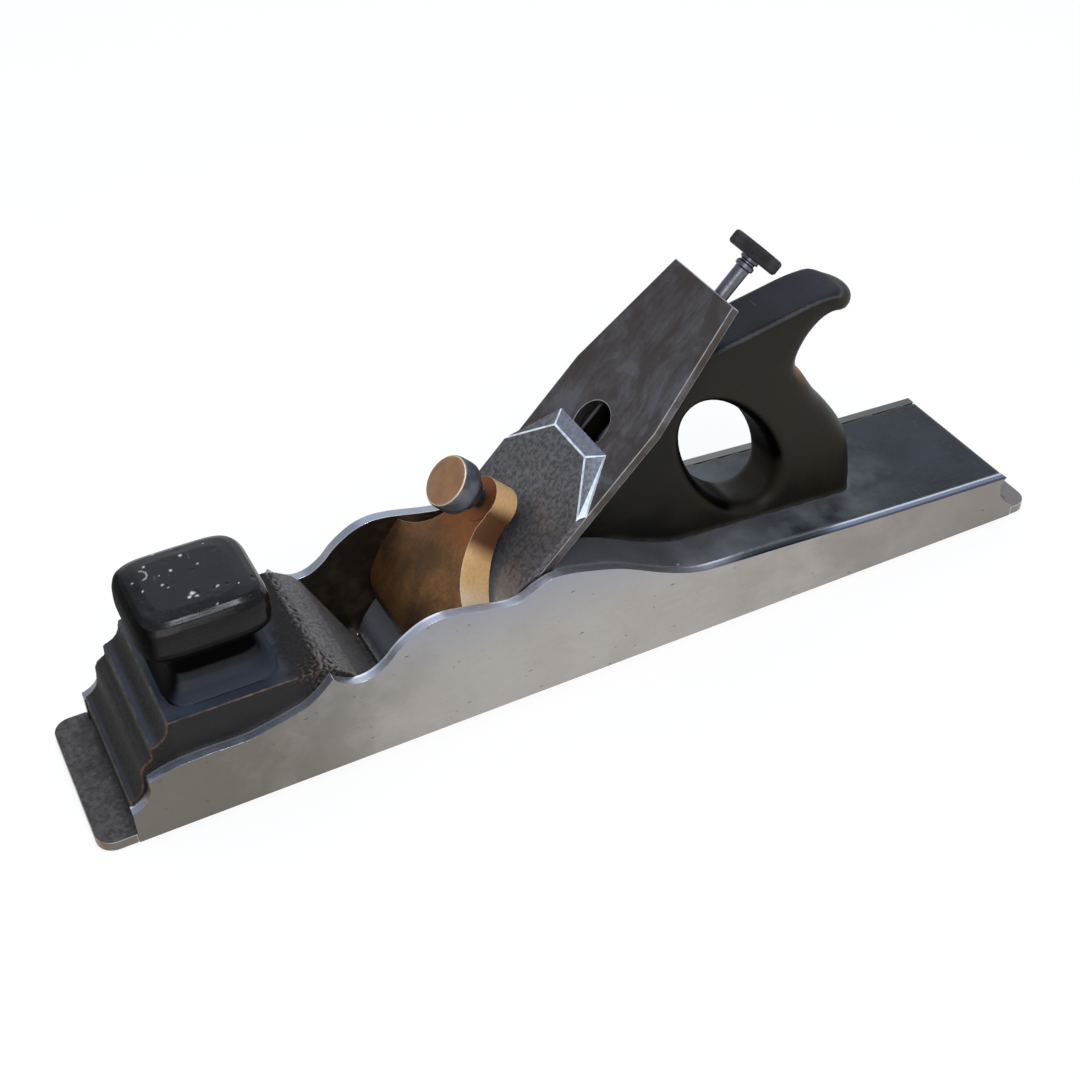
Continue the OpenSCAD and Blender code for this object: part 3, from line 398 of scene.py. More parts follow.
coveLook = dict(dull=tone(32, 29, 26), dullDark=tone(17, 15, 13), slope=tone(112, 108, 104),
    slopeDark=tone(76, 72, 69), crumbled=tone(30, 24, 19), crumbledDark=tone(11, 9, 8), crumbledShare=0.95,
    ribHighlight=tone(92, 87, 82), profile=tone(96, 66, 48), matt=0.7, gritHeight=1.4,
    toeward=span(-184, -188), onCoves=span(-182, -188), nearEnd=span(-29, -31.5), slopeFrom=span(-128, -126),
    crumbling=span(-143, -133), crumbledWander=7 * mm, ragged=(150, 6, 0.3, 0.7), patches=(260, 4, 0.4, 0.6),
    wearGrows=span(-178, -148), wearFalls=span(-144, -138), curved=(0.97, 0.8), sloping=(0.25, 0.5),
    heelWay=(0.1, 0.5), heelRub=0.2, deckRub=(0.4, 0.9), cornerRub=0.45, coveHighlightAndRub=(0.6, 0.75), patchRub=0.35)
deckLook = dict(dust=tone(99, 100, 104), corner={"Reach": 34 * mm, "Break-up scale": 90, "Start": 0.12, "Full": 0.42},
    skyReflectionStretch=span(104, 62), skyReflectionShare=(0.5, 0.95), cornerShare=0.8, upward=(0.4, 0.8))
bunShade = dict(skirtSkySheen=tone(33, 39, 50), skirtFrom=span(60, 52.5), mattFrom=span(70, 52.5), neckFrom=span(70, 67),
    matt=0.5, shade=tone(14, 13, 12), shadeRough=0.85, leftward=(-0.2, -0.6), leftShare=0.92,
    skirtWay=(0.1, 0.6), neckWay=(0.62, 0.25), underWay=(0.05, -0.35))


def coverCoves(look, place, axes, ways, upward, grit, colour, rough, height, rubAndHighlightShare):
    # the toe's coves are dull, and the slope down to the mouth is grey with old dust
    cove = times(fade(axes["X"], *look["toeward"]), fade(ways["Z"], *look["curved"]))
    line = plus(axes["X"], swing(clouds(place, *look["ragged"]), look["crumbledWander"]))
    slope = times(fade(axes["X"], *look["slopeFrom"]), fade(ways["X"], *look["sloping"]))
    behind = times(fade(line, *look["crumbling"]), upward)
    colour = mixColour(cove, colour, mixColour(grit, look["dull"], look["dullDark"]))
    crumbled = mixColour(grit, look["crumbled"], look["crumbledDark"])
    colour = layer(colour, (crumbled, look["crumbledShare"]), behind)
    colour = mixColour(slope, colour, mixColour(grit, look["slope"], look["slopeDark"]))
    worn = most(cove, most(slope, behind))
    rough = mixValue(worn, rough, look["matt"])
    height = plus(height, times(worn, grit, look["gritHeight"]))
    onCoves = fade(axes["X"], *look["onCoves"])
    nearEnd = fade(axes["Y"], *look["nearEnd"])  # the moulding's end profile is rubbed brown
    # painted highlight: the ribs of the coves edged light grey, beside the real brown wear of the end profile
    ribColour = mixColour(nearEnd, look["ribHighlight"], look["profile"])
    rubAndHighlightColour = mixColour(onCoves, woodLooks["Infill wood"]["brown"], ribColour)
    rubAndHighlightShare = times(rubAndHighlightShare, mixValue(fade(ways["X"], *look["heelWay"]), 1, look["heelRub"]))
    rearward = mixValue(fade(axes["X"], *look["wearGrows"]), *look["deckRub"])
    rearward = mixValue(fade(axes["X"], *look["wearFalls"]), rearward, look["cornerRub"])
    rubAndHighlightShare = times(rubAndHighlightShare, mixValue(onCoves, rearward, mixValue(nearEnd, *look["coveHighlightAndRub"])))
    rubAndHighlightShare = times(rubAndHighlightShare, mixValue(clouds(place, *look["patches"]), look["patchRub"], 1))
    return colour, rough, height, rubAndHighlightColour, rubAndHighlightShare


def makeBlackWood(name):
    look, grain = woodLooks[name], woodGrain
    material, shader, place, facing = startMaterial(name, **{"Specular IOR Level": look["specular"]})
    axes, ways = split(place), split(facing)
    upward = fade(ways["Z"], *grain["upward"])
    haze = clouds(place, *grain["haze"])
    pores = streaks(place, *grain["pores"])
    # painted sky reflection: upward faces lighter and bluish
    skySheened = times(upward, look["skySheenShare"], mixValue(haze, look["skySheenLow"], 1))
    colour = mixColour(skySheened, look["black"], look["skySheen"])
    colour = layer(colour, grain["pore"], pores)
    colour = layer(colour, grain["scuff"], streaks(place, *grain["scuffs"]), upward)
    rough = mixValue(haze, look["gloss"], look["gloss"] + grain["hazeRough"])
    height = times(pores, grain["poreHeight"])
    wear = useGroup("Wood wear and painted sheen", {"Vector": place, "Start": look["wear"][0], "Full": look["wear"][1],
                                  "Break-up scale": grain["wearScale"], "Break-up": grain["wearBreak"]})["Mask"]
    rubAndHighlightColour, rubAndHighlightShare = look["brown"], times(wear, look["wearShare"])
    if name == "Infill wood":
        grit = clouds(place, *grain["grit"])
        colour, rough, height, rubAndHighlightColour, rubAndHighlightShare = coverCoves(coveLook, place, axes, ways, upward, grit, colour,
                                                                rough, height, rubAndHighlightShare)
    if name == "Rear deck wood":  # dust in the corners and a painted sky reflection, lightening the deck in the lee of the handle and the iron
        corner = useGroup("Corner dust", {"Vector": place, **deckLook["corner"]})["Mask"]
        skyReflectionStretch = times(fade(axes["X"], *deckLook["skyReflectionStretch"]), mixValue(haze, *deckLook["skyReflectionShare"]))
        dustAndSheen = most(times(corner, deckLook["cornerShare"]), skyReflectionStretch)
        colour = mixColour(times(dustAndSheen, fade(ways["Z"], *deckLook["upward"])), colour, deckLook["dust"])
    colour = mixColour(rubAndHighlightShare, colour, rubAndHighlightColour)
    specks = pits(place, grain["speckScale"], grain["speckSize"], look["specks"])
    colour = layer(colour, grain["speck"], specks, upward)
    if name == "Bun wood":  # a painted blue sky reflection on the skirt under the neck, spots of old paint marked on the mesh, painted shade on the undersides
        skirtSkySheen = times(fade(axes["Z"], *bunShade["skirtFrom"]), fade(ways["Z"], *bunShade["skirtWay"]))
        colour = mixColour(skirtSkySheen, colour, bunShade["skirtSkySheen"])
        rough = mixValue(fade(axes["Z"], *bunShade["mattFrom"]), rough, bunShade["matt"])
        colour = mixColour(marked("paint"), colour, grain["speck"][0])
        # painted shade: the undersides, the neck and the left side turned near black, rough and metallic so they take
        # almost no light
        neck = times(fade(axes["Z"], *bunShade["neckFrom"]), fade(ways["Z"], *bunShade["neckWay"]))
        leftward = times(fade(ways["X"], *bunShade["leftward"]), bunShade["leftShare"])
        under = most(fade(ways["Z"], *bunShade["underWay"]), neck, leftward)
        colour = mixColour(under, colour, bunShade["shade"])
        rough = mixValue(under, rough, bunShade["shadeRough"])
        feed(shader.inputs["Metallic"], under)
    feed(shader.inputs["Base Color"], colour)
    feed(shader.inputs["Roughness"], mixValue(times(rubAndHighlightShare, grain["wornShare"]), rough, grain["worn"]))
    addBump(shader, height, *grain["bump"])
    return material


# worn ebonised wood of the handle

handleLook = dict(
    side=tone(10, 10, 9), warm=(tone(42, 36, 24), 0.35), pore=(tone(42, 36, 24), 0.2), top=tone(27, 30, 36),
    rub=tone(150, 96, 44), rubbed=(0.45, 0.85), waist=(110 * mm, -4 * mm, 104 * mm), waistReach=(16 * mm, 6 * mm),
    edge=tone(104, 104, 104), scratch=(tone(104, 104, 104), 0.22), edgeShare=0.42, edgeInHole=0.3,
    haze=(38, 6, 0.35, 0.7), pores=((1, 20, 20), 80, 0.55, 0.72), scratches=((14, 1, 1.5), 60, 0.68, 0.74),
    upward=(0.45, 0.9), grip=span(20, 75), high=span(90, 105), topLow=0.6, topHaze=0.4,
    wear={"Break-up scale": 140, "Start": 0.13, "Full": 0.4},
    dust=tone(92, 90, 86), foot=span(52, 46), corner=dict(Reach=5 * mm, Start=0.3, Full=0.75), dustShare=0.6,
    under=(-0.3, -0.8), underShare=0.7, gloss=0.34, matt=0.54, poreHeight=-0.4, bump=(0.1 * mm, 0.6),
)
holeLook = dict(x=59 * mm, z=80 * mm, reach=span(46, 40), facing=(0.97, 0.75), floor=span(60, 50),
    floorShare=0.4, dark=tone(3, 3, 3), warm=(tone(54, 30, 12), 0.5), rough=0.8)


def makeHandleWood():
    look = handleLook
    material, shader, place, facing = startMaterial("Handle wood", **{"Specular IOR Level": 0.13})
    axes, ways = split(place), split(facing)
    haze = clouds(place, *look["haze"])
    pores = streaks(place, *look["pores"])
    upward = fade(ways["Z"], *look["upward"])
    grip = fade(axes["X"], *look["grip"])
    colour = layer(look["side"], look["warm"], plus(haze, grip))
    # painted sky reflection: upward faces high on the handle turn bluish
    high = times(upward, fade(axes["Z"], *look["high"]))
    topSheen = times(high, plus(look["topLow"], times(haze, look["topHaze"])))
    colour = mixColour(topSheen, colour, look["top"])
    # brown rub at the grip's waist
    waist = addNode("VectorMath", operation="DISTANCE")
    feed(waist.inputs[0], place)
    waist.inputs[1].default_value = look["waist"]
    rubbed = times(fade(waist.outputs["Value"], *look["waistReach"]), mixValue(haze, *look["rubbed"]))
    colour = mixColour(rubbed, colour, look["rub"])
    colour = layer(colour, look["pore"], pores)
    colour = layer(colour, look["scratch"], streaks(place, *look["scratches"]))
    # inside of the finger hole: painted shade, near black, with a painted warm reflection low on its floor
    gaps = [calc("POWER", minus(axes[axis], holeLook[axis.lower()]), 2) for axis in "XZ"]
    inPlane = calc("POWER", plus(*gaps), 0.5)
    hole = times(fade(inPlane, *holeLook["reach"]),
                 fade(calc("ABSOLUTE", ways["Y"]), *holeLook["facing"]))
    warmFloorReflection = times(fade(axes["Z"], *holeLook["floor"]), times(haze, holeLook["floorShare"]))
    colour = mixColour(hole, colour, layer(holeLook["dark"], holeLook["warm"], warmFloorReflection))
    # painted highlight with wear: convex edges lightened to grey, less inside the hole
    rub = useGroup("Wood wear and painted sheen", {"Vector": place, **look["wear"]})["Mask"]
    edgeHighlight = times(rub, minus(look["edgeShare"], times(hole, look["edgeInHole"])))
    colour = mixColour(edgeHighlight, colour, look["edge"])
    corner = useGroup("Corner dust", {"Vector": place, **look["corner"]})["Mask"]
    foot = times(fade(axes["Z"], *look["foot"]), corner)
    foot = times(foot, minus(look["dustShare"], times(hole, look["dustShare"])))
    feed(shader.inputs["Base Color"], mixColour(foot, colour, look["dust"]))
    # painted shade: the hole, all but its warm reflection, and the undersides turned metallic over their dark colour,
    # so they take almost no light
    unlit = times(hole, minus(1, times(warmFloorReflection, holeLook["warm"][1])))
    under = times(fade(ways["Z"], *look["under"]), look["underShare"])
    feed(shader.inputs["Metallic"], most(unlit, under))
    rough = mixValue(haze, look["gloss"], look["matt"])
    feed(shader.inputs["Roughness"], mixValue(hole, rough, holeLook["rough"]))
    addBump(shader, times(pores, look["poreHeight"]), *look["bump"])
    return material


# gunmetal lever cap: brown patina on the face, golden sides

leverLook = dict(
    patina=tone(136, 94, 54), patinaDark=tone(90, 64, 40), mottle=(tone(84, 70, 54), 0.4),
    stain=(tone(70, 64, 58), 0.6), copper=(tone(146, 86, 44), 0.7), copperUp=span(60, 80),
    gold=tone(244, 198, 138), goldDark=(tone(206, 148, 88), 0.5), goldBrown=(tone(176, 118, 64), 0.2),
    goldPale=(tone(255, 250, 236), 0.95), paleDown=span(64, 50),
    neck=(tone(80, 40, 16), 0.95), neckFrom=span(70, 78), neckTo=span(97, 88),
    lowEnd=tone(34, 24, 16), lowFacing=(-0.2, -0.5), lowDown=span(70, 60),
    bright=(tone(255, 244, 222), 0.8), arrisBreak=0.35, front=(0.62, 0.86), metal=(0.4, 0.8),
    big=(55, 6, 0.35, 0.68), fine=(520, 4, 0.4, 0.66), rubs=((1, 14, 14), 70, 0.4, 0.75),
    spill=(130, 3, 0.66, 0.72), roughFace=(0.46, 0.58), roughSide=0.3, fineHeight=0.5, rubHeight=0.3,
    bump=(0.08 * mm, 0.7),
)


def makeGunmetal():
    look = leverLook
    material, shader, place, facing = startMaterial("Lever cap gunmetal")
    bed = bedCoords(place)
    upBed = split(bed)["X"]
    front = fade(along(facing, bedUp), *look["front"])
    big = clouds(place, *look["big"])
    fine = clouds(place, *look["fine"])
    rubs = streaks(bed, *look["rubs"])
    face = mixColour(big, look["patina"], look["patinaDark"])
    face = layer(face, look["mottle"], fine)
    face = layer(face, look["stain"], clouds(place, *look["spill"]))
    face = layer(face, look["copper"], fade(upBed, *look["copperUp"]))
    side = layer(look["gold"], look["goldDark"], rubs)
    side = layer(side, look["goldBrown"], big)
    # painted highlight: the golden sides turn pale towards the low end
    side = layer(side, look["goldPale"], fade(upBed, *look["paleDown"]))
    # the concave neck below the boss darker copper, partly its colour and partly painted shade
    side = layer(side, look["neck"], fade(upBed, *look["neckFrom"]), fade(upBed, *look["neckTo"]))
    # painted shade: faces turned down the bed on the lower part go nearly black
    lowEnd = fade(along(facing, bedAlong), *look["lowFacing"])
    side = mixColour(times(lowEnd, fade(upBed, *look["lowDown"])), side, look["lowEnd"])
    colour = mixColour(front, side, face)
    rub = useGroup("Arris wear and painted light", {"Vector": place, "Break-up": look["arrisBreak"]})["Mask"]
    # painted highlight with wear: the marked arrises lightened
    feed(shader.inputs["Base Color"], layer(colour, look["bright"], rub))
    feed(shader.inputs["Metallic"], mixValue(front, *look["metal"]))
    rough = mixValue(front, look["roughSide"], mixValue(fine, *look["roughFace"]))
    feed(shader.inputs["Roughness"], rough)
    height = plus(times(fine, look["fineHeight"]), times(rubs, look["rubHeight"]))
    addBump(shader, height, *look["bump"])
    return material


# bare steels: each has a ground colour, mottling and streaks up the bed

steelBase = dict(streakShare=0.0, patchShare=0.0, blueShare=0.0)  # what most of them go without
steelLooks = {
    "Cap iron steel": dict(steelBase, ground=tone(108, 106, 107), mottle=tone(57, 55, 57), bright=tone(240, 246, 252),
        rough=0.46, mottleShare=0.8, mottleScale=560, wear=0.95, metal=0.6, patchShare=0.05),
    "Cutting iron steel": dict(ground=tone(94, 91, 92), mottle=tone(58, 50, 46), bright=tone(200, 196, 190),
        rough=0.42, mottleShare=0.5, mottleScale=60, wear=0.7, metal=0.8, streakShare=0.4,
        patchShare=0.6, blueShare=0.32),
    "Spindle steel": dict(steelBase, ground=tone(112, 115, 122), mottle=tone(72, 72, 76), bright=tone(210, 214, 224),
        rough=0.3, mottleShare=0.5, mottleScale=160, wear=0.6, metal=1.0, streakShare=0.2),
    "Blackened steel": dict(steelBase, ground=tone(54, 53, 54), mottle=tone(34, 33, 34), bright=tone(110, 110, 112),
        rough=0.48, mottleShare=0.6, mottleScale=240, wear=0.35, metal=0.7),
    "Hidden steel": dict(steelBase, ground=tone(112, 108, 102), mottle=tone(74, 66, 58), bright=tone(170, 168, 164),
        rough=0.45, mottleShare=0.6, mottleScale=120, wear=0.5, metal=0.9, streakShare=0.2),
    "Swivel gunmetal": dict(steelBase, ground=tone(150, 112, 64), mottle=tone(96, 70, 42), bright=tone(214, 176, 118),
        rough=0.38, mottleShare=0.6, mottleScale=120, wear=0.5, metal=0.9, streakShare=0.1),
}
steelGrain = dict(fine=(620, 3, 0.35, 0.7), streaks=((1, 9, 9), 48, 0.36, 0.7), pits=(360, 0.3, 0.2),
    broad=(34, 4, 0.35, 0.7), mottle=(6, 0.38, 0.64), broadShare=0.4, fineShare=0.25, pitShare=0.4,
    swirl=dict(Scale=30, Detail=6, Distortion=2.4), brown=tone(66, 56, 50), brownFrom=(0.5, 0.62),
    blue=tone(112, 113, 120), blueFrom=(0.44, 0.36), arrisBreak=0.4, rubRough=0.25, rubAndHighlightShare=0.6,
    roughSpread=(-0.05, 0.1), fineHeight=0.5, pitHeight=-0.6, bump=(0.06 * mm, 0.6))
chamferLook = dict(bright=tone(232, 242, 250), mottled=tone(98, 100, 108), top=tone(118, 119, 128),
    low=(tone(146, 152, 160), 0.7), lowDown=span(80, 56), lean=(0.985, 0.94), notSide=(0.15, 0.3),
    nearSide=(0.1, 0.4), mottledShare=(0.75, 0.2), share=0.92)


def brightenChamfers(look, facing, bed, mottle, colour):  # the cap iron's chamfers round its top get a painted highlight, brightest on the near side, and its lower part a painted bluish reflection
    lean = along(facing, bedUp)
    # painted reflection: the lower part of the cap iron lighter and bluish
    colour = layer(colour, look["low"], fade(split(bed)["X"], *look["lowDown"]))
    chamfer = times(fade(lean, *look["lean"]), fade(lean, *look["notSide"]))
    nearSide = fade(along(facing, Vector((0, -1, 0))), *look["nearSide"])
    shine = mixColour(nearSide, look["top"], look["bright"])
    shine = mixColour(times(mottle, mixValue(nearSide, *look["mottledShare"])), shine, look["mottled"])
    return layer(colour, (shine, look["share"]), chamfer)


def makeSteel(name):
    look, grain = steelLooks[name], steelGrain
    material, shader, place, facing = startMaterial(name, Metallic=look["metal"])
    bed = bedCoords(place)
    mottle = clouds(place, look["mottleScale"], *grain["mottle"])
    fine = clouds(place, *grain["fine"])
    spots = pits(place, *grain["pits"])
    swirl = addNode("TexNoise", {"Vector": bed, **grain["swirl"]}).outputs["Fac"]
    colour = layer(look["ground"], (look["mottle"], look["mottleShare"]), mottle)
    colour = layer(colour, (look["mottle"], look["streakShare"]), streaks(bed, *grain["streaks"]))
    broadShare = look["mottleShare"] * grain["broadShare"]
    colour = layer(colour, (look["mottle"], broadShare), clouds(place, *grain["broad"]))
    colour = layer(colour, (look["mottle"], grain["fineShare"]), fine)
    colour = layer(colour, (look["mottle"], grain["pitShare"]), spots)
    colour = layer(colour, (grain["brown"], look["patchShare"]), fade(swirl, *grain["brownFrom"]))
    colour = layer(colour, (grain["blue"], look["blueShare"]), fade(swirl, *grain["blueFrom"]))
    if name == "Cap iron steel":
        colour = brightenChamfers(chamferLook, facing, bed, mottle, colour)
    rub = useGroup("Arris wear and painted light", {"Vector": place, "Break-up": grain["arrisBreak"]})["Mask"]
    # painted highlight with wear: the marked arrises lightened
    feed(shader.inputs["Base Color"], layer(colour, (look["bright"], look["wear"]), rub))
    rough = mixValue(mottle, *[look["rough"] + shift for shift in grain["roughSpread"]])
    feed(shader.inputs["Roughness"], mixValue(times(rub, grain["rubAndHighlightShare"]), rough, grain["rubRough"]))
    height = plus(times(fine, grain["fineHeight"]), times(spots, grain["pitHeight"]))
    addBump(shader, height, *grain["bump"])
    return material


# screw head: copper-brown flat face inside a bright ring of painted highlight, blue-grey knurled rim

headLook = dict(face=tone(158, 120, 88), faceDark=(tone(132, 92, 62), 0.5), rim=tone(104, 106, 113),
    rimDark=tone(68, 69, 75), ring=(tone(236, 210, 172), 0.7), flat=(0.93, 0.985), ringFrom=(0.55, 0.75),
    ringTo=(0.985, 0.93), clouds=(160, 5, 0.35, 0.7), rough=(0.42, 0.46), bump=(0.03 * mm, 0.5))


def makeHeadMetal():
    look = headLook
    material, shader, place, facing = startMaterial("Screw head", Metallic=0.8)
    lean = along(facing, bedUp)
    face = fade(lean, *look["flat"])
    cloud = clouds(place, *look["clouds"])
    faceColour = layer(look["face"], look["faceDark"], cloud)
    colour = mixColour(face, mixColour(cloud, look["rim"], look["rimDark"]), faceColour)
    # painted highlight: a bright ring where the face turns into the rim
    colour = layer(colour, look["ring"], fade(lean, *look["ringFrom"]), fade(lean, *look["ringTo"]))
    feed(shader.inputs["Base Color"], colour)
    feed(shader.inputs["Roughness"], mixValue(face, *look["rough"]))
    addBump(shader, cloud, *look["bump"])
    return material


bodySteel = makeBodySteel()
infillWood, deckWood, bunWood = [makeBlackWood(name) for name in woodLooks]
handleWood = makeHandleWood()
gunmetal = makeGunmetal()
headMetal = makeHeadMetal()
capSteel, ironSteel, spindleSteel, blackSteel, hiddenSteel, swivelMetal = [makeSteel(name) for name in steelLooks]
print("materials made")


# mesh helpers

def bareObject(node, pieceName):  # the node's shape without its normals and materials
    source = cad[node].data
    mesh = bpy.data.meshes.new(pieceName)
    mesh.from_pydata([v.co[:] for v in source.vertices], [], [p.vertices[:] for p in source.polygons])
    shape = bmesh.new()
    shape.from_mesh(mesh)
    bmesh.ops.remove_doubles(shape, verts=shape.verts, dist=0.002 * mm)
    shape.to_mesh(mesh)
    shape.free()
    piece = bpy.data.objects.new(pieceName, mesh)
    scene.collection.objects.link(piece)
    return piece


def settle(piece, body, slotName, material, *replaced):
    piece.data.materials.clear()
    piece.data.materials.append(material)
    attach(piece, body)
    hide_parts(*replaced)
    return piece


def smoothShade(piece, sharpAngle=35, weighted=True):
    for face in piece.data.polygons:
        face.use_smooth = True
    piece.data.set_sharp_from_angle(angle=math.radians(sharpAngle))
    if weighted:
        even = piece.modifiers.new("even normals", "WEIGHTED_NORMAL")
        even.keep_sharp = True


def easeArrises(piece, width, segments, minAngle=30, wanted=lambda a, b: True, marked=lambda a, b: 1, maxAngle=180):
    # planar faces joined up first, then each wanted sharp edge rounded, its strip marked as an arris
    shape = bmesh.new()
    shape.from_mesh(piece.data)
    arris = shape.faces.layers.float.get("arris") or shape.faces.layers.float.new("arris")
    bmesh.ops.dissolve_limit(shape, angle_limit=math.radians(0.3), verts=shape.verts, edges=shape.edges)
    sharp = [edge for edge in shape.edges if len(edge.link_faces) == 2
             and math.radians(minAngle) < edge.calc_face_angle(0) <= math.radians(maxAngle)
             and wanted(edge.verts[0].co, edge.verts[1].co)]
    rounded = bmesh.ops.bevel(shape, geom=sharp, offset=width, offset_type="OFFSET", segments=segments, profile=0.5,
                              affect="EDGES", clamp_overlap=True)
    for face in rounded["faces"]:
        face[arris] = float(marked(face.calc_center_median(), face.normal))
    shape.to_mesh(piece.data)
    shape.free()


def carveWood(piece, look):  # an even close mesh with its arrises softened by wear
    rebuild = piece.modifiers.new("rebuild", "REMESH")
    rebuild.mode = "VOXEL"
    rebuild.voxel_size = look["voxel"]
    soften = piece.modifiers.new("soften", "SMOOTH")
    soften.factor = 0.5
    soften.iterations = look["soften"]
    ready = piece.evaluated_get(bpy.context.evaluated_depsgraph_get())
    mesh = bpy.data.meshes.new_from_object(ready)
    piece.modifiers.clear()
    piece.data = mesh
    for face in mesh.polygons:
        face.use_smooth = True


def markBend(piece, spread):  # how sharply the surface turns at each point, per mm: + on arrises, - in nooks
    mesh = piece.data
    mesh.update()
    count = len(mesh.vertices)
    spot, way = numpy.empty(count * 3), numpy.empty(count * 3)
    mesh.vertices.foreach_get("co", spot)
    mesh.vertices.foreach_get("normal", way)
    spot, way = spot.reshape(-1, 3), way.reshape(-1, 3)
    ends = numpy.empty(len(mesh.edges) * 2, dtype=numpy.int64)
    mesh.edges.foreach_get("vertices", ends)
    first, second = ends.reshape(-1, 2).T
    step = spot[second] - spot[first]
    length = (step ** 2).sum(1) + 1e-16
    links = numpy.bincount(first, minlength=count) + numpy.bincount(second, minlength=count)
    turn = (numpy.bincount(first, -(step * way[first]).sum(1) / length, count)
            + numpy.bincount(second, (step * way[second]).sum(1) / length, count)) / links * 2 * mm
    for step in range(spread):
        around = numpy.bincount(first, turn[second], count) + numpy.bincount(second, turn[first], count)
        turn = (turn + around / links) / 2
    mesh.attributes.new("bend", "FLOAT", "POINT").data.foreach_set("value", turn.astype(numpy.float32))


def reshape(piece, moved):  # moved(place, normal) gives each point's shift
    shifts = [moved(v.co, v.normal) for v in piece.data.vertices]
    for vertex, shift in zip(piece.data.vertices, shifts):
        vertex.co += shift
    piece.data.update()


def makeWood(node, look, worn, spread, slotName, material):
    piece = bareObject(node, node + "_wood")
    carveWood(piece, look)
    reshape(piece, worn)
    markBend(piece, spread)
    return settle(piece, "plane_body", slotName, material, node)


# body: cheeks and soles

cheekLook = dict(outer=1.0 * mm, inner=0.45 * mm, steps=2, outside=36.8 * mm, inside=33 * mm,
    middle=34.75 * mm, darkFrom=60 * mm, farTo=20 * mm, footTop=5.2 * mm, holeGap=5 * mm, holeRim=0.4 * mm)


def pinned():  # middle and radius of every rivet or pin that shows on the cheeks
    found = []
    for node in ("front_infill_rivets", "rear_infill_rivets", "lever_cap_pins"):
        places = sorted({(round(v.co.x, 6), round(v.co.z, 6)) for v in cad[node].data.vertices})
        rows = [[places[0]]]
        for spot in places[1:]:
            if spot[0] - rows[-1][-1][0] > cheekLook["holeGap"]:
                rows.append([])
            rows[-1].append(spot)
        for row in rows:
            xs, zs = [spot[0] for spot in row], [spot[1] for spot in row]
            found.append(((min(xs) + max(xs)) / 2, (min(zs) + max(zs)) / 2, (max(xs) - min(xs)) / 2))
    return found


def cheekArris(spot, way):  # near outer arris plain, then a painted dark reflection towards the heel; the far side gets the bright arris, a painted highlight with wear, at the throat only
    if spot.y > 0:
        return 1 if spot.x < cheekLook["farTo"] else 0
    if spot.y > -cheekLook["middle"]:
        return 1
    return -1 if spot.x > cheekLook["darkFrom"] else 0


def makeCheeks():
    holes = pinned()

    def onOutline(a, b):
        return (min(a.z, b.z) > cheekLook["footTop"] and abs(a.y - b.y) < 1 * mm
                and all(math.hypot(a.x - x, a.z - z) > radius + cheekLook["holeRim"] for x, z, radius in holes))

    for node in ("left_side", "right_side"):
        piece = bareObject(node, node + "_cheek")
        easeArrises(piece, cheekLook["outer"], cheekLook["steps"], 30,
                    lambda a, b: onOutline(a, b) and min(abs(a.y), abs(b.y)) > cheekLook["outside"], cheekArris)
        easeArrises(piece, cheekLook["inner"], cheekLook["steps"], 30,
                    lambda a, b: onOutline(a, b) and max(abs(a.y), abs(b.y)) < cheekLook["inside"], cheekArris)
        smoothShade(piece, 40)
        settle(piece, "plane_body", "side_steel", bodySteel, node)


rivetLook = dict(press=0.04 * mm)  # how far each rivet is spread, to close the gap round it


def makeRivets():
    for node in ("front_infill_rivets", "rear_infill_rivets", "lever_cap_pins"):
        piece = bareObject(node, node + "_spread")
        reshape(piece, lambda place, normal: Vector((normal.x, 0, normal.z)).normalized() * rivetLook["press"])
        smoothShade(piece, 35)
        settle(piece, "plane_body", "side_steel", bodySteel, node)


soleLook = dict(arris=0.5 * mm, steps=2, inset=0.2 * mm, toe_sole=-207.25 * mm, heel_sole=211.25 * mm, share=0.4)


def makeSoles():
    for node in ("toe_sole", "heel_sole"):
        piece = bareObject(node, node + "_plate")
        outwards = -1 if soleLook[node] < 0 else 1
        end = outwards * soleLook[node] - soleLook["inset"]
        easeArrises(piece, soleLook["arris"], soleLook["steps"], 30,
                    lambda a, b: min(outwards * a.x, outwards * b.x) > end,
                    lambda spot, way: soleLook["share"] if abs(way.z) < 0.9 else 0)
        smoothShade(piece, 40)
        settle(piece, "plane_body", "sole_steel", bodySteel, node)


# front infill: coves, deck and slope, with a chipped rear corner

frontLook = dict(voxel=0.5 * mm, soften=1, wave=0.1 * mm, waves=60, chip=1.3 * mm, chips=620,
    corner=Vector((-125.5 * mm, -32.5 * mm, 50 * mm)), cornerReach=15 * mm, edgeReach=5 * mm, edgeTop=45 * mm)


def makeFrontInfill():
    def worn(place, normal):
        shift = noise.noise(place * frontLook["waves"]) * frontLook["wave"]
        near = max(0, 1 - (place - frontLook["corner"]).length / frontLook["cornerReach"])
        edge = max(0, 1 - abs(place.x - frontLook["corner"].x) / frontLook["edgeReach"])
        if place.z <= frontLook["edgeTop"]:
            edge = 0
        bite = max(near, 0.35 * edge) * max(0, noise.noise(place * frontLook["chips"]) + 0.2)
        return normal * (min(0, shift) - bite * frontLook["chip"])

    makeWood("front_infill", frontLook, worn, 1, "dark_wood", infillWood)


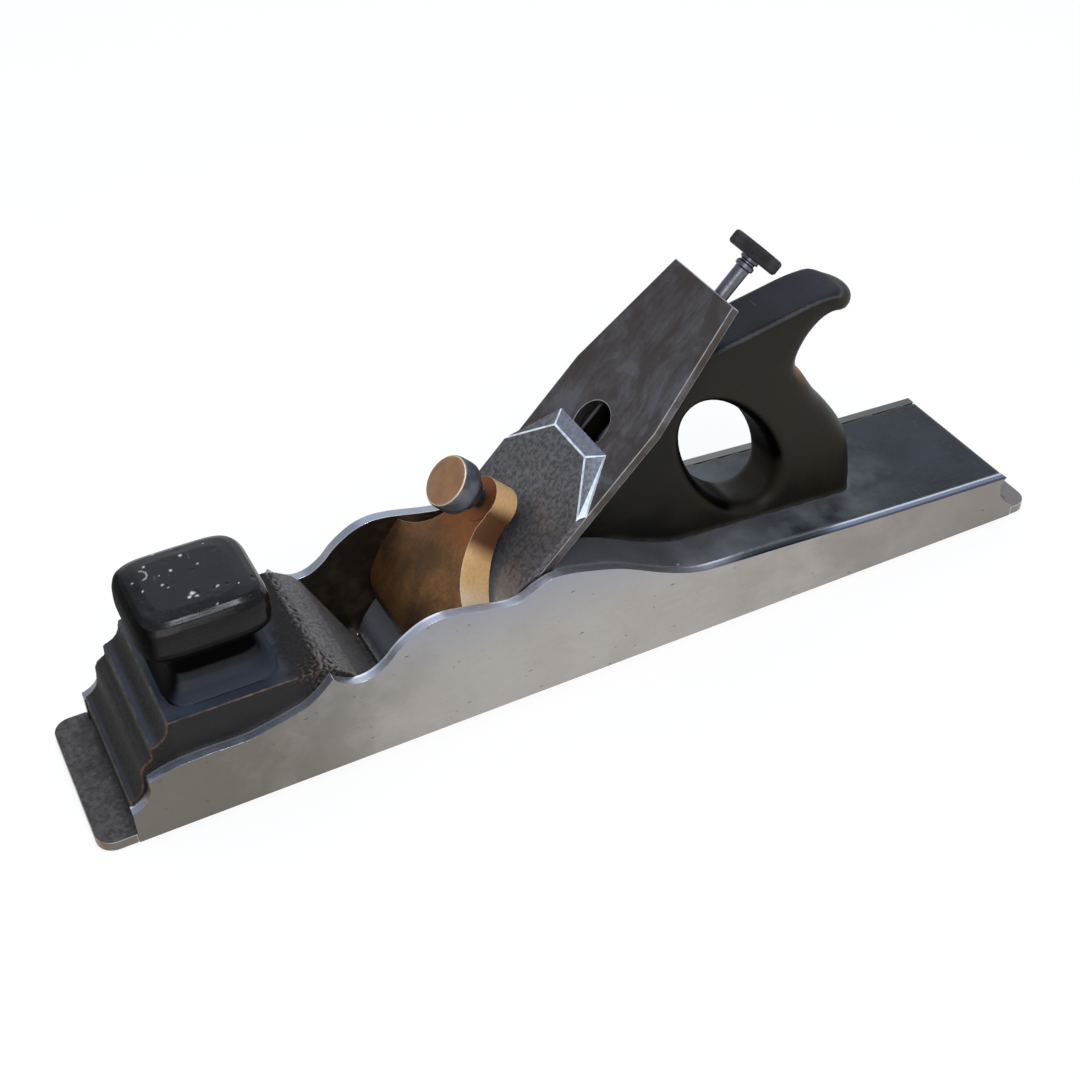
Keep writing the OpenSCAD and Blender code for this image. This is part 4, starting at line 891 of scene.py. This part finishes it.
bunLook = dict(voxel=0.5 * mm, soften=3, wave=0.22 * mm, waves=45, dents=30, dentRadius=(0.8, 2.2),
    dentDepth=(0.1, 0.28), dentTop=3 * mm, paintDeep=5 * mm, ragged=900,
    # paint: share along, share across, radius in mm; crescent: the same and half its width
    paint=[(0.55, 0.93, 0.8), (0.5, 0.86, 0.35), (0.53, 0.74, 0.7), (0.36, 0.86, 0.75), (0.42, 0.62, 0.6),
        (0.61, 0.6, 0.5), (0.26, 0.74, 0.5), (0.33, 0.6, 0.35), (0.32, 0.5, 0.6), (0.35, 0.46, 0.4),
        (0.66, 0.32, 0.8), (0.48, 0.33, 1.1), (0.45, 0.3, 0.9), (0.5, 0.29, 0.7), (0.8, 0.28, 0.4),
        (0.72, 0.8, 0.35), (0.18, 0.5, 0.4), (0.6, 0.16, 0.35), (0.14, 0.62, 0.5)],
    crescent=(0.2, 0.66, 3.0, 0.35))


def makeBun():
    low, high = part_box("front_bun")
    size = high - low
    dents = [(Vector((random.uniform(low.x, high.x), random.uniform(low.y, high.y), high.z)),
              random.uniform(*bunLook["dentRadius"]) * mm, random.uniform(*bunLook["dentDepth"]) * mm)
             for i in range(bunLook["dents"])]

    def worn(place, normal):
        shift = noise.noise(place * bunLook["waves"]) * bunLook["wave"]
        for centre, radius, depth in dents:
            gap = (Vector((place.x, place.y, high.z)) - centre).length
            if gap < radius and place.z > high.z - bunLook["dentTop"]:
                shift -= depth * (1 - (gap / radius) ** 2)
        return normal * min(0, shift)

    def spotted(place, normal):  # spots of old paint and a crescent on the cushion's top
        if place.z <= high.z - bunLook["paintDeep"] or normal.z <= 0.4:
            return 0.0
        ragged = 0.8 + 0.5 * noise.noise(place * bunLook["ragged"])
        shares = [(math.hypot(place.x - low.x - x * size.x, place.y - low.y - y * size.y) / (radius * ragged * mm), 1)
                  for x, y, radius in bunLook["paint"]]
        x, y, radius, half = bunLook["crescent"]
        dx, dy = place.x - low.x - x * size.x, place.y - low.y - y * size.y
        if dx > 0.2 * radius * mm:
            shares.append((abs(math.hypot(dx, dy) - radius * mm) / (half * ragged * mm), 0.6))
        return max(share * min(1, max(0, 1.6 - 1.2 * away)) for away, share in shares)

    piece = makeWood("front_bun", bunLook, worn, 2, "dark_wood", bunWood)
    paint = [spotted(vertex.co, vertex.normal) for vertex in piece.data.vertices]
    piece.data.attributes.new("paint", "FLOAT", "POINT").data.foreach_set("value", paint)


# rear infill and handle

rearLook = dict(voxel=0.9 * mm, soften=2, wave=0.12 * mm, waves=40, back=0.9 * mm, backDeep=12 * mm)


def makeRearInfill():
    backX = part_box("rear_infill")[1].x - rearLook["backDeep"]

    def worn(place, normal):  # the rear face comes out flush with the cheeks
        shift = normal * min(0, noise.noise(place * rearLook["waves"]) * rearLook["wave"])
        if place.x > backX and normal.x > 0.3:
            shift.x += rearLook["back"]
        return shift

    makeWood("rear_infill", rearLook, worn, 1, "dark_wood", deckWood)


toteLook = dict(voxel=0.7 * mm, soften=3, wave=0.18 * mm, waves=35, room=0.25 * mm, pocketY=13 * mm,
    pocketDeep=26 * mm, pocketFrom=20 * mm, pocketTo=130 * mm)


def makeTote():
    def worn(place, normal):  # the pocket for the adjuster keeps its full room after the rebuild
        deep = (place - bedPoint(0, 0, 0)).dot(bedUp)
        s = (place - bedPoint(0, 0, 0)).dot(bedAlong)
        pocket = (abs(place.y) < toteLook["pocketY"] and -toteLook["pocketDeep"] < deep < 0
                  and toteLook["pocketFrom"] < s < toteLook["pocketTo"])
        shift = min(0, noise.noise(place * toteLook["waves"]) * toteLook["wave"])
        return normal * (shift - (toteLook["room"] if pocket else 0))

    makeWood("tote", toteLook, worn, 2, "handle_wood", handleWood)


makeCheeks()
makeRivets()
makeSoles()
makeFrontInfill()
makeBun()
makeRearInfill()
makeTote()
print("body and wood made")


# iron, cap iron and lever cap

plateLooks = dict(
    cutting_iron=dict(arris=0.3 * mm, minAngle=24, sharp=38, body="iron", slot="iron_steel", finish=ironSteel),
    cap_iron=dict(arris=0.3 * mm, minAngle=40, sharp=14, body="cap_iron_body", slot="cap_steel", finish=capSteel),
    lever_cap=dict(arris=0.35 * mm, minAngle=30, sharp=38, body="lever", slot="lever_bronze", finish=gunmetal),
)
creaseLook = dict(width=0.55 * mm, minAngle=12, maxAngle=40)  # where the cap iron's chamfers meet its face
bossLook = dict(s=90 * mm, reach=10.3 * mm, stepTo=88 * mm, lowEndTo=70 * mm)


def leverArris(spot, way):  # the boss's low step on the face and the lower end get neither the painted highlight nor the wear of the bright arris
    s = (spot - bedPoint(0, 0, 0)).dot(bedAlong)
    onStep = s < bossLook["stepTo"] and math.hypot(s - bossLook["s"], spot.y) < bossLook["reach"]
    lowEnd = s < bossLook["lowEndTo"] and way.dot(bedAlong) < -0.2
    return 0 if onStep or lowEnd else 1


def makePlates():
    for node, look in plateLooks.items():
        piece = bareObject(node, node + "_plate")
        if node == "cap_iron":
            easeArrises(piece, creaseLook["width"], 1, creaseLook["minAngle"], maxAngle=creaseLook["maxAngle"])
        rubbed = leverArris if node == "lever_cap" else lambda spot, way: 1
        easeArrises(piece, look["arris"], 2, look["minAngle"], marked=rubbed)
        smoothShade(piece, look["sharp"])
        settle(piece, look["body"], look["slot"], look["finish"], node)


makePlates()
print("irons and lever cap made")


# knurled heads: a turned profile with a straight knurl round its rim

def turnKnurled(pieceName, look, axis):
    perTooth = 5
    count = look["teeth"] * perTooth
    origin, side = bedPoint(*look["foot"]), Vector((0, 1, 0))
    across = axis.cross(side)
    rings = []
    for radius, height, knurl in look["profile"]:
        ring = []
        for i in range(count):
            angle = 2 * math.pi * i / count
            bite = knurl * (0.5 - 0.5 * math.cos(2 * math.pi * (i % perTooth) / perTooth)) ** 1.5
            r = (radius - bite) * mm
            ring.append(origin + side * (r * math.cos(angle)) + across * (r * math.sin(angle)) + axis * (height * mm))
        rings.append(ring)
    shape = bmesh.new()
    made = [[shape.verts.new(p) for p in ring] for ring in rings]
    for under, over in zip(made, made[1:]):
        for i in range(count):
            j = (i + 1) % count
            shape.faces.new((under[i], under[j], over[j], over[i]))
    shape.faces.new(list(reversed(made[0])))
    shape.faces.new(made[-1])
    bmesh.ops.recalc_face_normals(shape, faces=shape.faces)
    mesh = bpy.data.meshes.new(pieceName)
    shape.to_mesh(mesh)
    shape.free()
    piece = bpy.data.objects.new(pieceName, mesh)
    scene.collection.objects.link(piece)
    smoothShade(piece, 45)
    return piece


# profile: radius, height and the knurl's depth, in mm
screwHeadLook = dict(teeth=120, foot=(90 * mm, 0, 32.4 * mm),
    profile=[(3.9, 0.2, 0), (9.9, 0.06, 0), (10.6, 0.5, 0.05), (11.1, 1.3, 0.1), (11.25, 2.6, 0.13),
        (11.25, 7.6, 0.13), (11.1, 8.8, 0.1), (10.75, 9.35, 0.06), (10.35, 9.66, 0), (10.0, 9.74, 0),
        (9.75, 9.62, 0), (9.6, 9.6, 0), (4, 9.62, 0)])
wheelLook = dict(teeth=96, foot=((233 - 3.15) * mm, 0, -12 * mm),
    profile=[(2.7, 0.1, 0), (10.4, 0.06, 0), (11.0, 0.4, 0.08), (11.5, 1.1, 0.26), (11.55, 2, 0.32),
        (11.55, 4.4, 0.32), (11.5, 5.2, 0.26), (11.0, 5.9, 0.08), (10.4, 6.2, 0), (9, 6.24, 0), (3, 6.2, 0)])


def makeHeads():
    head = turnKnurled("lever_cap_screw_knurled", screwHeadLook, bedUp)
    settle(head, "screw_head", "screw_bronze", headMetal, "lever_cap_screw_head")
    wheel = turnKnurled("adjuster_knob_knurled", wheelLook, bedAlong)
    settle(wheel, "knob", "knob_steel", blackSteel, "adjuster_knob")


makeHeads()
print("knurled heads turned")


# the nodes that keep their own mesh

keptFinishes = dict(
    mouth_block=hiddenSteel, mouth_block_rivets=bodySteel, lever_cap_screw=blackSteel,
    cap_iron_screw=hiddenSteel, adjuster_carrier=hiddenSteel, adjuster_swivel=swivelMetal,
    adjuster_plate=hiddenSteel, adjuster_plate_screws=hiddenSteel, adjuster_spindle=spindleSteel,
)
for node, finish in keptFinishes.items():
    for slot in cad[node].material_slots:
        slot.material = finish
print("kept nodes finished:", len(keptFinishes))


# floor, light and camera

stageLook = dict(floorHalf=3.0, floor=tone(254, 250, 245), white=(1, 1, 1, 1), shadowShare=0.24,
    sky=(0.72, 0.82, 1.0, 1), level=(0.86, 0.86, 0.86, 1), ground=(0.60, 0.56, 0.52, 1), strength=0.75,
    floorDrop=-0.05 * mm, skyUp=(0.0, 0.75), groundDown=(0.0, -0.3), mirrorDown=(0.3, 0.0))


def makeFloor():
    half = stageLook["floorHalf"]
    mesh = bpy.data.meshes.new("studio_floor")
    mesh.from_pydata([(-half, -half, 0), (half, -half, 0), (half, half, 0), (-half, half, 0)], [], [(0, 1, 2, 3)])
    floor = bpy.data.objects.new("studio_floor", mesh)
    scene.collection.objects.link(floor)
    floor.location.z = stageLook["floorDrop"]
    material, shader, place, facing = startMaterial("Pale floor", Roughness=0.9)
    shader.inputs["Base Color"].default_value = stageLook["floor"]
    glow = addNode("Emission", {"Color": stageLook["white"], "Strength": 1.0})
    rays = addNode("LightPath").outputs
    seen = most(rays["Is Camera Ray"], rays["Is Transmission Ray"], rays["Is Glossy Ray"])
    share = times(seen, 1 - stageLook["shadowShare"])
    blend = addNode("MixShader")
    feed(blend.inputs[0], share)
    feed(blend.inputs[1], shader.outputs[0])
    feed(blend.inputs[2], glow.outputs[0])
    out = [node for node in material.node_tree.nodes if node.type == "OUTPUT_MATERIAL"][0]
    feed(out.inputs[0], blend.outputs[0])
    mesh.materials.append(material)


def makeWorld():
    world = bpy.data.worlds.new("Soft room")
    scene.world = world
    world.use_nodes = True
    wiring["tree"] = world.node_tree
    world.node_tree.nodes.clear()
    height = addNode("SeparateXYZ", {"Vector": addNode("TexCoord").outputs["Generated"]}).outputs["Z"]
    colour = mixColour(fade(height, *stageLook["skyUp"]), stageLook["level"], stageLook["sky"])
    colour = mixColour(fade(height, *stageLook["groundDown"]), colour, stageLook["ground"])
    soft = addNode("Background", {"Color": colour, "Strength": stageLook["strength"]})
    white = addNode("Background", {"Color": stageLook["white"], "Strength": 1.0})
    blend = addNode("MixShader")
    rays = addNode("LightPath").outputs  # metal mirrors the white backdrop near the horizon, and the sky above it
    mirrored = times(rays["Is Glossy Ray"], fade(height, *stageLook["mirrorDown"]))
    seen = most(rays["Is Camera Ray"], rays["Is Transmission Ray"], mirrored)
    feed(blend.inputs[0], seen)
    feed(blend.inputs[1], soft.outputs[0])
    feed(blend.inputs[2], white.outputs[0])
    feed(addNode("OutputWorld").inputs[0], blend.outputs[0])


lampLooks = [
    dict(name="front window", at=(-0.5, -1.3, 1.3), size=1.4, power=16, colour=(1.0, 0.98, 0.95)),
    dict(name="rear sky", at=(0.5, 1.5, 1.2), size=1.6, power=5, colour=(0.8, 0.89, 1.0)),
    dict(name="top", at=(0.1, 0.0, 1.8), size=0.36, power=9, colour=(0.86, 0.92, 1.0)),
]


def makeLamps():
    for look in lampLooks:
        data = bpy.data.lights.new(look["name"], "AREA")
        data.energy = look["power"]
        data.size = look["size"]
        data.color = look["colour"]
        lamp = bpy.data.objects.new(look["name"], data)
        scene.collection.objects.link(lamp)
        lamp.location = look["at"]
        lamp.rotation_mode = "QUATERNION"
        lamp.rotation_quaternion = (-Vector(look["at"])).to_track_quat("-Z", "Y")


cameraLook = dict(lens=54.16, sensor=36, near=0.01, at=(-0.24836, -0.47226, 0.47817),
    right=(0.88951, -0.45647, -0.02043), up=(0.30333, 0.55648, 0.77351), back=(-0.34172, -0.69424, 0.63345))


def makeCamera():
    data = bpy.data.cameras.new("bench camera")
    data.lens = cameraLook["lens"]
    data.sensor_width = cameraLook["sensor"]
    data.clip_start = cameraLook["near"]
    camera = bpy.data.objects.new("bench camera", data)
    scene.collection.objects.link(camera)
    turn = Matrix((cameraLook["right"], cameraLook["up"], cameraLook["back"])).transposed().to_4x4()
    camera.matrix_world = Matrix.Translation(cameraLook["at"]) @ turn
    scene.camera = camera


makeFloor()
makeWorld()
makeLamps()
makeCamera()
scene.view_settings.view_transform = "Standard"
print("stage, lamps and camera set")
